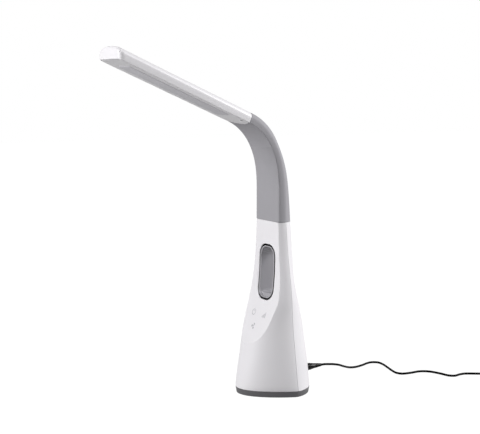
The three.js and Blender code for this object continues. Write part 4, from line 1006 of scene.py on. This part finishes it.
def head_form(name, start, inset, level):
    """The head's skin, drawn in by an inset, with an upright tip that is round at its rim."""
    radius = TIP_ROUND - inset
    last = HEAD_LENGTH - TIP_ROUND
    count = math.ceil((last - start) / HEAD_STEP)
    stations = [(mix(start, last, step / count), inset) for step in range(count)]
    for step in range(TIP_STEPS + 1):
        turn = math.pi / 2 * step / TIP_STEPS
        stations.append((last + radius * math.sin(turn), inset + radius * (1 - math.cos(turn))))
    rings = []
    for length, drawn in stations:
        lean = TIP_LEAN * smoothstep(length, HEAD_LENGTH - LEAN_START, HEAD_LENGTH - LEAN_END)
        section = arm_section(NECK_LENGTH + length, drawn, level)
        rings.append([in_head(point.x, point.y, length + lean * point.y) for point in section])
    return skin(name, rings)


head_cover = head_form("head_cover", CLEARANCE / 2, 0, 0)
carve(head_cover, head_form("head_hollow", HEAD_WALL, HEAD_WALL, -UNDER_CUT))
carve(head_cover, tongue_cut())
carve(head_cover, prism("rod_hole", round_outline(
    GOOSENECK_HOLE, lambda x, y: in_head(x, y + thickness_at(NECK_LENGTH) / 2, ROD_HOLE_START)),
    head_frame.to_3x3() @ Vector((0, 0, ROD_HOLE_LENGTH))))
even(shade(round_cover(head_cover, HEAD_EDGE_LIMIT, HEAD_EDGE_SEGMENTS), HEAD_SHADE_LIMIT))
# Painted shade on the cover's downward faces and round the screw.
paint_shade(head_cover, painted_head_shade)
dress(head_cover, "head", "white_shell", "head_shell")

# %% Underside plate
LENS_START, LENS_LENGTH, LENS_HALF_WIDTH, LENS_CORNER, LENS_GAP = 24, 145, 16, 4, 0.08
CUT_START, CUT_LENGTH, RECESS_DEPTH = -3, 9, 1.1
PLATE_EDGE, PLATE_EDGE_LIMIT = 0.25, 40


def round_rectangle(left, right, low, high, corner, steps):
    """A rectangle with round corners, as pairs."""
    centres = [(right - corner, high - corner, corner), (left + corner, high - corner, corner),
               (left + corner, low + corner, corner), (right - corner, low + corner, corner)]
    return sum(quarter_arcs(centres, steps), [])


def lens_outline(margin, level):
    """The lens's outline in the head's frame, widened by a margin."""
    right, low = LENS_HALF_WIDTH + margin, LENS_START - margin
    high = LENS_START + LENS_LENGTH + margin
    pairs = round_rectangle(-right, right, low, high, LENS_CORNER + margin, 8)
    return [in_head(x, level, z) for x, z in pairs]


def screw_cutter(name, radius, length, steps):
    outline = round_outline(
        radius, lambda x, z: in_head(HEAD_SCREW[0] + x, CUT_START, HEAD_SCREW[1] + z), steps)
    return prism(name, outline, head_axis(length))


underside = head_form("underside_plate", HEAD_WALL + CLEARANCE, HEAD_WALL + CLEARANCE, 0)
slab = [(-FAR, -FAR), (FAR, -FAR), (FAR, 3 * FAR), (-FAR, 3 * FAR)]
carve(underside, prism("slab", [in_head(x, FRAME_THICKNESS, z) for x, z in slab], head_axis(FAR)))
carve(underside, tongue("tongue", 0, 0, FRAME_THICKNESS), "UNION")
carve(underside, prism("lens_window", lens_outline(LENS_GAP, CUT_START), head_axis(CUT_LENGTH)))
carve(underside, screw_cutter("screw_recess", SCREW_RECESS, RECESS_DEPTH - CUT_START, 24))
carve(underside, screw_cutter("screw_hole", SCREW_HOLE, CUT_LENGTH, 16))
even(shade(soften(underside, PLATE_EDGE, PLATE_EDGE_LIMIT), HEAD_SHADE_LIMIT))
# Painted shade on the plate's downward faces and in the screw's recess.
paint_shade(underside, painted_head_shade)
dress(underside, "head", "white_shell", "head_underside")

# %% Lens
LENS_PROUD, LENS_INSIDE, LENS_RIM, LENS_RIM_THICKNESS = 0.4, 0.5, 2, 1
LENS_EDGE, LENS_EDGE_LIMIT, LENS_EDGE_SEGMENTS = 0.3, 40, 3
lens = prism("lens", lens_outline(0, -LENS_PROUD),
             head_axis(LENS_PROUD + FRAME_THICKNESS + CLEARANCE + LENS_INSIDE))
soften(lens, LENS_EDGE, LENS_EDGE_LIMIT, LENS_EDGE_SEGMENTS)
rim = prism("rim", lens_outline(LENS_RIM, FRAME_THICKNESS + CLEARANCE), head_axis(LENS_RIM_THICKNESS))
carve(lens, rim, "UNION")
dress(shade(lens, HEAD_SHADE_LIMIT), "head", "frosted_lens", "diffuser")

# %% [markdown]
# ## The touch keys
#
# Three key signs are printed on the facet: a power sign, a level sign and a fan sign. Print has no
# thickness to speak of, so each sign is a thin flat shape laid a hair above the facet and following
# its slope.

# %% Draw the signs
PRINT_LIFT, PRINT_THICKNESS = 0.03, 0.06
SIGN_HEIGHT, FAN_HEIGHT, SIGN_SPREAD, FAN_SHIFT = 101.3, 85, 12.3, -3.5
BLADE_ROOT, BLADE_TIP, BLADE_STEPS = 0.7, 4, 12


def on_facet(x, z):
    return Vector((x, facet_at(z) - PRINT_LIFT, z))


def print_shape(name, loops, centre):
    """Flat outlines about a centre, laid on the facet as one thin piece."""
    bm = bmesh.new()
    for loop in loops:
        bm.faces.new([bm.verts.new(on_facet(centre[0] + x, centre[1] + z) * MM) for x, z in loop])
    made = bmesh.ops.extrude_face_region(bm, geom=list(bm.faces))["geom"]
    verts = [item for item in made if isinstance(item, bmesh.types.BMVert)]
    bmesh.ops.translate(bm, vec=(0, -PRINT_THICKNESS * MM, 0), verts=verts)
    bmesh.ops.recalc_face_normals(bm, faces=bm.faces)
    return dress(new_piece(name, bm), "tower", "grey_tray", finish="sign_print")


def arc_band(radius, width, start, end, steps=28):
    """A band round a centre, from one angle in degrees to another."""
    turns = [math.radians(mix(start, end, step / steps)) for step in range(steps + 1)]
    outer = [((radius + width / 2) * math.cos(t), (radius + width / 2) * math.sin(t)) for t in turns]
    inner = [((radius - width / 2) * math.cos(t), (radius - width / 2) * math.sin(t)) for t in turns]
    return outer + inner[::-1]


def bar(left, right, low, high):
    return [(left, low), (right, low), (right, high), (left, high)]


def fan_blade(turn):
    """One swept blade of the fan sign, out along its leading edge and back along the other."""
    shares = [step / BLADE_STEPS for step in range(BLADE_STEPS + 1)]
    points = [(mix(BLADE_ROOT, BLADE_TIP, share), turn + mix(0, 52, share**0.8)) for share in shares]
    points += [(BLADE_TIP * (1 - share) + BLADE_ROOT * share, turn + mix(95, 70, share))
               for share in shares]
    return [(radius * math.cos(math.radians(angle)), radius * math.sin(math.radians(angle)))
            for radius, angle in points]


print_shape("power_sign", [arc_band(3.6, 0.75, 122, 418), bar(-0.38, 0.38, 0.6, 4.4)],
            (-SIGN_SPREAD, SIGN_HEIGHT))
print_shape("level_sign", [bar(-3.7 + 2.1 * i, -2.7 + 2.1 * i, -3.6, -1.6 + 1.6 * i) for i in range(4)],
            (SIGN_SPREAD, SIGN_HEIGHT))
print_shape("fan_sign", [fan_blade(turn) for turn in (0, 120, 240)] + [arc_band(0.45, 0.5, 0, 359)],
            (FAN_SHIFT, FAN_HEIGHT))

# %% [markdown]
# ## Plug, adapter and tie
#
# The moulded plug is a turned part: its grip has shallow rings for the fingers, and the relief behind
# it is cut by grooves so that it bends with the cord. A spun profile makes both. The wall adapter is a
# block of rounded sections with the thin groove where its two halves meet. A strap ties the coil.

# %% Turned pieces
def turned(name, profile, place, steps=40):
    """A profile of radius and height in millimetres, spun about its axis and then put in place."""
    bm = bmesh.new()
    verts = [bm.verts.new(Vector((radius, 0, height)) * MM) for radius, height in profile]
    edges = [bm.edges.new(pair) for pair in zip(verts, verts[1:])]
    bmesh.ops.spin(bm, geom=verts + edges, axis=(0, 0, 1), cent=(0, 0, 0), angle=math.tau, steps=steps,
                   use_merge=True)
    bmesh.ops.remove_doubles(bm, verts=bm.verts, dist=0.001 * MM)
    bmesh.ops.transform(bm, matrix=place, verts=bm.verts)
    bmesh.ops.recalc_face_normals(bm, faces=bm.faces)
    return new_piece(name, bm)


GROOVE_SHARE, GROOVE_FLOOR_SHARE = 0.3, 0.18  # of the pitch, from a groove's middle


def ringed(start, end, count, depth):
    """A sloping profile line from start to end, cut by even ring grooves."""
    line = [start]
    pitch = (end[1] - start[1]) / count
    for index in range(count):
        middle = start[1] + pitch * (index + 0.5)
        for offset, cut in ((-GROOVE_SHARE, 0), (-GROOVE_FLOOR_SHARE, 1), (GROOVE_FLOOR_SHARE, 1),
                            (GROOVE_SHARE, 0)):
            height = middle + offset * pitch
            radius = mix(start[0], end[0], (height - start[1]) / (end[1] - start[1]))
            line.append((radius - depth * cut, height))
    return line + [end]


def frame_along(spot, forward):
    """A frame in metres with z forward and y up."""
    side = Vector((0, 0, 1)).cross(forward)
    axes = Matrix((side, Vector((0, 0, 1)), forward)).transposed().to_4x4()
    return Matrix.Translation(spot * MM) @ axes


# %% Plug
PLUG_RADIUS, PLUG_BODY, PLUG_MID_RADIUS, PLUG_TAPER = 4.6, 13.4, 3.25, 7.2
PLUG_RELIEF_RADIUS, PLUG_RELIEF, PLUG_EDGE = 1.95, 10.6, 0.5
GRIP_RINGS, GRIP_GROOVE, RELIEF_RINGS, RELIEF_GROOVE = 5, 0.28, 6, 0.5
BARREL_SEAT = (3.05, 2.95)  # radius and depth
TAPER_STEPS, PLUG_LIMIT = 8, 50
relief_start = PLUG_BODY + PLUG_TAPER
relief_end = relief_start + PLUG_RELIEF
plug_profile = [(0, BARREL_SEAT[1]), (BARREL_SEAT[0], BARREL_SEAT[1]), (BARREL_SEAT[0], 0),
                (PLUG_RADIUS - PLUG_EDGE, 0), (PLUG_RADIUS - PLUG_EDGE * 0.3, PLUG_EDGE * 0.3)]
plug_profile += ringed((PLUG_RADIUS, PLUG_EDGE), (PLUG_RADIUS, PLUG_BODY - 0.7), GRIP_RINGS, GRIP_GROOVE)
plug_profile += [(PLUG_RADIUS - 0.15, PLUG_BODY - 0.2), (PLUG_RADIUS - 0.45, PLUG_BODY + 0.4)]
for step in range(1, TAPER_STEPS):
    plug_profile.append((mix(PLUG_RADIUS - 0.45, PLUG_MID_RADIUS, smoothstep(step, 0, TAPER_STEPS)),
                         mix(PLUG_BODY + 0.4, relief_start, step / TAPER_STEPS)))
plug_profile += ringed((PLUG_MID_RADIUS, relief_start), (PLUG_RELIEF_RADIUS, relief_end - 0.4),
                       RELIEF_RINGS, RELIEF_GROOVE)
plug_profile += [(PLUG_RELIEF_RADIUS - 0.3, relief_end), (0, relief_end)]
plug_place = frame_along(Vector((0, plug_low.y / MM, jack_height)), Vector((0, 1, 0)))
plug_grip = turned("plug_grip", plug_profile, plug_place)
dress(shade(plug_grip, PLUG_LIMIT), "tower", "black_plastic", "dc_plug")

# %% Wall adapter
ADAPTER_LENGTH, ADAPTER_WIDTH, ADAPTER_HEIGHT, ADAPTER_CORNER, ADAPTER_BEVEL = 60, 38, 28, 5, 2
ADAPTER_RELIEF, ADAPTER_RELIEF_RADIUS = 12, 3
ADAPTER_CORNER_STEPS, BEVEL_STEPS, ADAPTER_LIMIT = 6, 5, 40
SEAM_PLACE, SEAM_DEPTH, SEAM_HALF_WIDTH = 44, 0.4, 0.3
adapter_place = frame_along(tail_end + tail_forward * CLEARANCE, tail_forward)
adapter_lift = ADAPTER_HEIGHT / 2 - tail_end.z


def adapter_section(inset, along):
    """One rounded rectangle of the block, already in place."""
    corner = ADAPTER_CORNER - inset
    across, up = ADAPTER_WIDTH / 2 - ADAPTER_CORNER, ADAPTER_HEIGHT / 2 - ADAPTER_CORNER
    high, low = adapter_lift + up, adapter_lift - up
    corners = ((across, high), (-across, high), (-across, low), (across, low))
    centres = [(x, y, corner) for x, y in corners]
    return [adapter_place @ (Vector((*pair, along)) * MM) / MM
            for arc in quarter_arcs(centres, ADAPTER_CORNER_STEPS) for pair in arc]


edge_turns = [math.pi / 2 * step / BEVEL_STEPS for step in range(BEVEL_STEPS + 1)]
front_rings = [(ADAPTER_BEVEL * (1 - math.sin(t)), ADAPTER_RELIEF + ADAPTER_BEVEL * (1 - math.cos(t)))
               for t in edge_turns]
seam = ADAPTER_RELIEF + SEAM_PLACE
seam_rings = [(0, seam - SEAM_HALF_WIDTH), (SEAM_DEPTH, seam - SEAM_HALF_WIDTH * 0.8),
              (SEAM_DEPTH, seam + SEAM_HALF_WIDTH * 0.8), (0, seam + SEAM_HALF_WIDTH)]
adapter_end = ADAPTER_RELIEF + ADAPTER_LENGTH
back_rings = [(inset, adapter_end - (along - ADAPTER_RELIEF)) for inset, along in reversed(front_rings)]
adapter_rings = front_rings + seam_rings + back_rings
adapter = skin("adapter_block", [adapter_section(*ring) for ring in adapter_rings])
relief_profile = [(0, 0)] + ringed(
    (ADAPTER_RELIEF_RADIUS * 0.7, 0), (ADAPTER_RELIEF_RADIUS, ADAPTER_RELIEF), GRIP_RINGS, RELIEF_GROOVE)
relief_profile += [(ADAPTER_RELIEF_RADIUS, ADAPTER_RELIEF + 1), (0, ADAPTER_RELIEF + 1)]
carve(adapter, turned("adapter_relief", relief_profile, adapter_place, 24), "UNION")
dress(shade(adapter, ADAPTER_LIMIT), "tower", "black_plastic", "wall_adapter")

# %% Strap round the coil
STRAP_WIDTH, STRAP_THICKNESS, STRAP_GAP, STRAP_CORNER, STRAP_TURN = 6, 0.7, 0.2, 1.2, math.pi
STRAP_OUTER_LOW, STRAP_INNER_LOW = 0.02, 0.09  # the strap passes between the coil and the desk


def strap_loop(outset, low):
    """A rounded loop round the winding's section, as pairs of radius and height."""
    inner = inner_radius - CORD_RADIUS - STRAP_GAP - outset
    outer = outer_radius + CORD_RADIUS + STRAP_GAP + outset
    high = coil_entry.z + COIL_PITCH * (COIL_LAYERS - 1) + CORD_RADIUS + STRAP_GAP + outset
    return round_rectangle(inner, outer, low, high, STRAP_CORNER + outset, 6)


def on_coil(radius, height, across):
    """A place at a radius from the coil's middle, at a height, and so far across the strap."""
    outward = coil_side * math.cos(STRAP_TURN) + coil_forward * math.sin(STRAP_TURN)
    along = outward.cross(Vector((0, 0, 1)))
    return Vector((*(coil_centre + outward * radius + along * across).xy, height))


half = STRAP_WIDTH / 2
strap_rings = []
for (outer, high), (inner, low) in zip(strap_loop(STRAP_THICKNESS, STRAP_OUTER_LOW),
                                       strap_loop(0, STRAP_INNER_LOW)):
    strap_rings.append([on_coil(outer, high, -half), on_coil(outer, high, half),
                        on_coil(inner, low, half), on_coil(inner, low, -half)])
strap = skin("coil_strap", strap_rings, looped=True)
dress(shade(strap, ADAPTER_LIMIT), "tower", "black_rubber")

# %% [markdown]
# ## Materials
#
# Two small helpers wire every finish. A Finish adds any node in one line. A Wire wraps a socket so that
# Python's own operators add Math nodes: mask * 0.3 + 0.1 reads like the sum it is. The moulded plastics
# share a recipe of a faint colour drift, a fine grain in the bump and a slightly uneven gloss, and they
# turn dark where a face says so, which paints shade into their colour.

# %% Shader sums
class Wire:
    """A shader socket that Python's operators work on."""

    def __init__(self, maker, socket):
        self.maker, self.socket = maker, socket

    def math(self, operation, *others):
        node = self.maker.node("ShaderNodeMath", {"operation": operation}, [self, *others])
        return Wire(self.maker, node.outputs[0])

    def __add__(self, other):
        return self.math("ADD", other)

    def __mul__(self, other):
        return self.math("MULTIPLY", other)


# %% One finish
class Finish:
    """A material with one Principled shader, and a method that adds any node."""

    def __init__(self, name, **shader_values):
        self.material = bpy.data.materials.new(name)
        self.material.use_nodes = True
        self.tree = self.material.node_tree
        self.tree.nodes.clear()
        self.output = self.tree.nodes.new("ShaderNodeOutputMaterial")
        self.shader = self.tree.nodes.new("ShaderNodeBsdfPrincipled")
        self.tree.links.new(self.shader.outputs[0], self.output.inputs["Surface"])
        self.place = self.node("ShaderNodeTexCoord", {}, {}).outputs["Object"]
        for key, value in shader_values.items():
            self.set(key.replace("_", " ").title(), value)

    def node(self, kind, settings, inputs):
        """Adds a node: its settings first, then a value or a link for each of its sockets."""
        node = self.tree.nodes.new(kind)
        for key, value in settings.items():
            setattr(node, key, value)
        pairs = inputs.items() if isinstance(inputs, dict) else enumerate(inputs)
        for key, value in pairs:
            self.feed(node.inputs[key], value)
        return node

    def feed(self, socket, value):
        if isinstance(value, Wire):
            self.tree.links.new(value.socket, socket)
        elif isinstance(value, bpy.types.NodeSocket):
            self.tree.links.new(value, socket)
        else:
            socket.default_value = value

    def set(self, name, value):
        names = {"Specular": "Specular IOR Level", "Coat": "Coat Weight"}
        self.feed(self.shader.inputs[names.get(name, name)], value)

    def noise(self, scale, detail=3.0, place=None):
        node = self.node("ShaderNodeTexNoise", {}, {
            "Vector": place or self.place, "Scale": scale, "Detail": detail})
        return Wire(self, node.outputs["Fac"])

    def blend(self, first, second, share):
        """Mixes two colours; the Mix node's colour sockets are numbers 6 and 7 in, and 2 out."""
        node = self.node("ShaderNodeMix", {"data_type": "RGBA"}, {0: share, 6: first, 7: second})
        return node.outputs[2]

    def bump(self, height, strength, distance):
        node = self.node("ShaderNodeBump", {}, {
            "Strength": strength, "Distance": distance, "Height": height})
        self.set("Normal", node.outputs[0])


# %% Greys
def grey(level):
    return (level, level, level, 1)


def tint(level):
    """A grey with a faint touch of lilac."""
    return (level, level * 0.98, level * 1.045, 1)


print("a middle grey with its lilac:", tint(0.5))

# %% Moulded plastics and rubber
DRIFT_SCALE, NOISE_DETAIL = 14, 2
GLOSS_SPREAD, GRAIN_DEPTH = 0.08, 0.0002
# The near black that painted shade blends towards.
PAINTED_SHADE_GREY = 0.012


def moulded(name, dark, light, rough, grain, grain_scale, **values):
    """Moulded plastic: two near colours, a fine grain, a slightly uneven gloss, and painted shade where a
    face asks for it.
    """
    finish = Finish(name, **values)
    drift = finish.noise(DRIFT_SCALE, NOISE_DETAIL)
    fine = finish.noise(grain_scale, NOISE_DETAIL)
    # Painted shade: a face's share in the dark attribute blends the colour towards near black.
    share = finish.node("ShaderNodeAttribute", {"attribute_name": "dark"}, {}).outputs["Fac"]
    finish.set("Base Color", finish.blend(finish.blend(dark, light, drift), grey(PAINTED_SHADE_GREY), share))
    finish.set("Roughness", fine * GLOSS_SPREAD + (rough - GLOSS_SPREAD / 2))
    finish.bump(fine, grain, GRAIN_DEPTH)
    return finish.material


white_low, white_high = (0.80, 0.785, 0.815, 1), (0.84, 0.825, 0.85, 1)
black_low, black_high = grey(0.001), grey(0.002)
materials = {
    "white_shell": moulded("white_satin", white_low, white_high, 0.36, 0.10, 2600),
    "grey_sleeve": moulded("soft_grey", tint(0.33), tint(0.37), 0.65, 0.30, 2200, specular=0.2),
    "grey_tray": moulded("tray_grey", tint(0.11), tint(0.13), 0.50, 0.25, 1800),
    "grey_liner": moulded("liner_grey", tint(0.37), tint(0.41), 0.14, 0.06, 1800),
    "black_rubber": moulded("pad_rubber", grey(0.012), grey(0.02), 0.85, 0.5, 1500),
    "black_plastic": moulded(
        "black_gloss", black_low, black_high, 0.3, 0.05, 1500, specular=0.06, coat=0.35),
    "cord_black": moulded("cord_sheath", black_low, black_high, 0.4, 0.15, 1500, specular=0.06),
    "sign_print": moulded("sign_print", tint(0.46), tint(0.50), 0.45, 0.05, 1500),
    "white_reflector": moulded("reflector_white", grey(0.82), grey(0.88), 0.3, 0.05, 1500),
}
print("moulded finishes:", len(materials))

# %% Lens, metals and boards
FINE_DEPTH = 0.0001


def lens_finish():
    """Frosted acrylic: a milky grey face with a fine grid of prisms."""
    finish = Finish("frosted_lens", specular=0.4)
    cells = finish.node("ShaderNodeTexVoronoi", {"feature": "F1"}, {
        "Vector": finish.place, "Scale": 900.0, "Randomness": 0.1})
    dots = Wire(finish, cells.outputs["Distance"])
    finish.set("Base Color", finish.blend(tint(0.57), tint(0.67), dots))
    finish.set("Roughness", dots * 0.1 + 0.36)
    finish.bump(dots, 0.15, FINE_DEPTH)
    return finish.material


def metal(name, colour, rough, scale, stretch):
    """Drawn or cast metal: the gloss changes along faint lines."""
    finish = Finish(name, metallic=1.0)
    mapped = finish.node("ShaderNodeMapping", {}, {"Vector": finish.place, "Scale": stretch})
    lines = finish.noise(scale, 4, mapped.outputs[0])
    finish.set("Base Color", finish.blend([c * 0.85 for c in colour[:3]] + [1], colour, lines))
    finish.set("Roughness", lines * 0.2 + (rough - 0.1))
    finish.bump(lines, 0.15, FINE_DEPTH)
    return finish.material


def board(name, dark, light):
    """Circuit board: lacquer with faint copper tracks under it."""
    finish = Finish(name, coat=0.4)
    tracks = finish.node("ShaderNodeTexBrick", {}, {
        "Vector": finish.place, "Scale": 120.0, "Color1": dark, "Color2": dark, "Mortar": light,
        "Mortar Size": 0.03,
    })
    finish.set("Base Color", tracks.outputs["Color"])
    finish.set("Roughness", finish.noise(900) * 0.1 + 0.4)
    return finish.material


materials["frosted_lens"] = lens_finish()
materials["dark_steel"] = metal("dark_steel", (0.09, 0.09, 0.10, 1), 0.4, 500, (1, 1, 12))
materials["steel"] = metal("turned_steel", (0.56, 0.57, 0.58, 1), 0.35, 500, (1, 1, 12))
materials["cast_ballast"] = metal("cast_weight", (0.30, 0.30, 0.31, 1), 0.6, 700, (1, 1, 1))
materials["green_board"] = board("green_board", (0.012, 0.09, 0.045, 1), (0.03, 0.16, 0.08, 1))
materials["white_board"] = board("white_board", grey(0.72), grey(0.8))
print("all finishes:", len(materials))

# %% Put a finish on every piece
node_finishes = {entry["node"]: entry["material_slot"] for entry in frame["record"]["subparts"]}
node_finishes["head_screw"] = "dark_steel"


def finish_with(thing, material):
    thing.data.materials.clear()
    thing.data.materials.append(material)


for node_name, node_object in frame["nodes"].items():
    for material_slot in node_object.material_slots:
        material_slot.material = materials[node_finishes[node_name]]
for piece, finish_name in finishes:
    finish_with(piece, materials[finish_name])
print("CAD nodes finished:", len(frame["nodes"]), "new pieces:", len(finishes))

# %% The cord's length
print("declared a cord of", CORD_LENGTH, "mm")

# %% [markdown]
# ## Floor and light
#
# The picture is a product shot on white. The floor is white to the camera, with a little plain
# shading left in so that the lamp keeps a soft shadow. Mirrors see only part of that white, so that
# the gloss on the shells stays calm. Two large soft lamps stand to the left and the right of the
# camera's line, a weak third one hangs above, and the world fills in the rest.

# %% Floor
FLOOR_SIZE, FLOOR_LEVEL = 6, 0.38
FLOOR_GLOW, GLOW_SHARE, MIRROR_SHARE = 1.12, 0.9, 0.4
WHITE = (1, 1, 1, 1)


def floor_finish():
    """White to the camera, and for the rest a plain pale surface."""
    finish = Finish("floor_white", roughness=0.9, base_color=grey(FLOOR_LEVEL))
    path = finish.node("ShaderNodeLightPath", {}, {})
    seen = Wire(finish, path.outputs["Is Camera Ray"])
    mirror = Wire(finish, path.outputs["Is Glossy Ray"])
    through_glass = Wire(finish, path.outputs["Is Transmission Ray"])
    glow = finish.node("ShaderNodeEmission", {}, {"Color": WHITE, "Strength": FLOOR_GLOW})
    factor = (seen + mirror * MIRROR_SHARE + through_glass).math("MINIMUM", 1.0) * GLOW_SHARE
    both = finish.node("ShaderNodeMixShader", {}, {
        0: factor, 1: finish.shader.outputs[0], 2: glow.outputs[0]})
    finish.feed(finish.output.inputs["Surface"], both.outputs[0])
    return finish.material


floor_bm = bmesh.new()
bmesh.ops.create_grid(floor_bm, x_segments=1, y_segments=1, size=FLOOR_SIZE)
floor = new_piece("floor", floor_bm)
finish_with(floor, floor_finish())
print("floor", 2 * FLOOR_SIZE, "m across")

# %% Lamps
LAMP_TARGET = Vector((0, 0, 0.2))


def softbox(name, place, size, power):
    """A round area light that looks at the lamp's middle."""
    data = bpy.data.lights.new(name, "AREA")
    data.shape = "DISK"
    data.size = size
    data.energy = power
    light = bpy.data.objects.new(name, data)
    light.location = place
    light.rotation_euler = (LAMP_TARGET - Vector(place)).to_track_quat("-Z", "Y").to_euler()
    bpy.context.collection.objects.link(light)
    print(name, power, "W")


softbox("left_box", (-0.3, -1.5, 0.8), 1.1, 21.8)
softbox("right_box", (0.78, 1.36, 0.95), 1.1, 29)
softbox("top_box", (0.4, 0.1, 1.8), 1.2, 5)

# %% World
WORLD_LEVEL, BACKDROP_LEVEL = 0.25, 1.0  # for the light on the lamp, and as the camera sees it
world = bpy.data.worlds.new("studio")
bpy.context.scene.world = world
world.use_nodes = True
world_nodes = world.node_tree.nodes
world_path = world_nodes.new("ShaderNodeLightPath")
world_mix = world_nodes.new("ShaderNodeMix")
world_mix.inputs[2].default_value = WORLD_LEVEL
world_mix.inputs[3].default_value = BACKDROP_LEVEL
world_background = world_nodes["Background"]
world_background.inputs["Color"].default_value = WHITE
world.node_tree.links.new(world_path.outputs["Is Camera Ray"], world_mix.inputs[0])
world.node_tree.links.new(world_mix.outputs[0], world_background.inputs["Strength"])
bpy.context.scene.view_settings.view_transform = "Standard"
print("world level", WORLD_LEVEL)
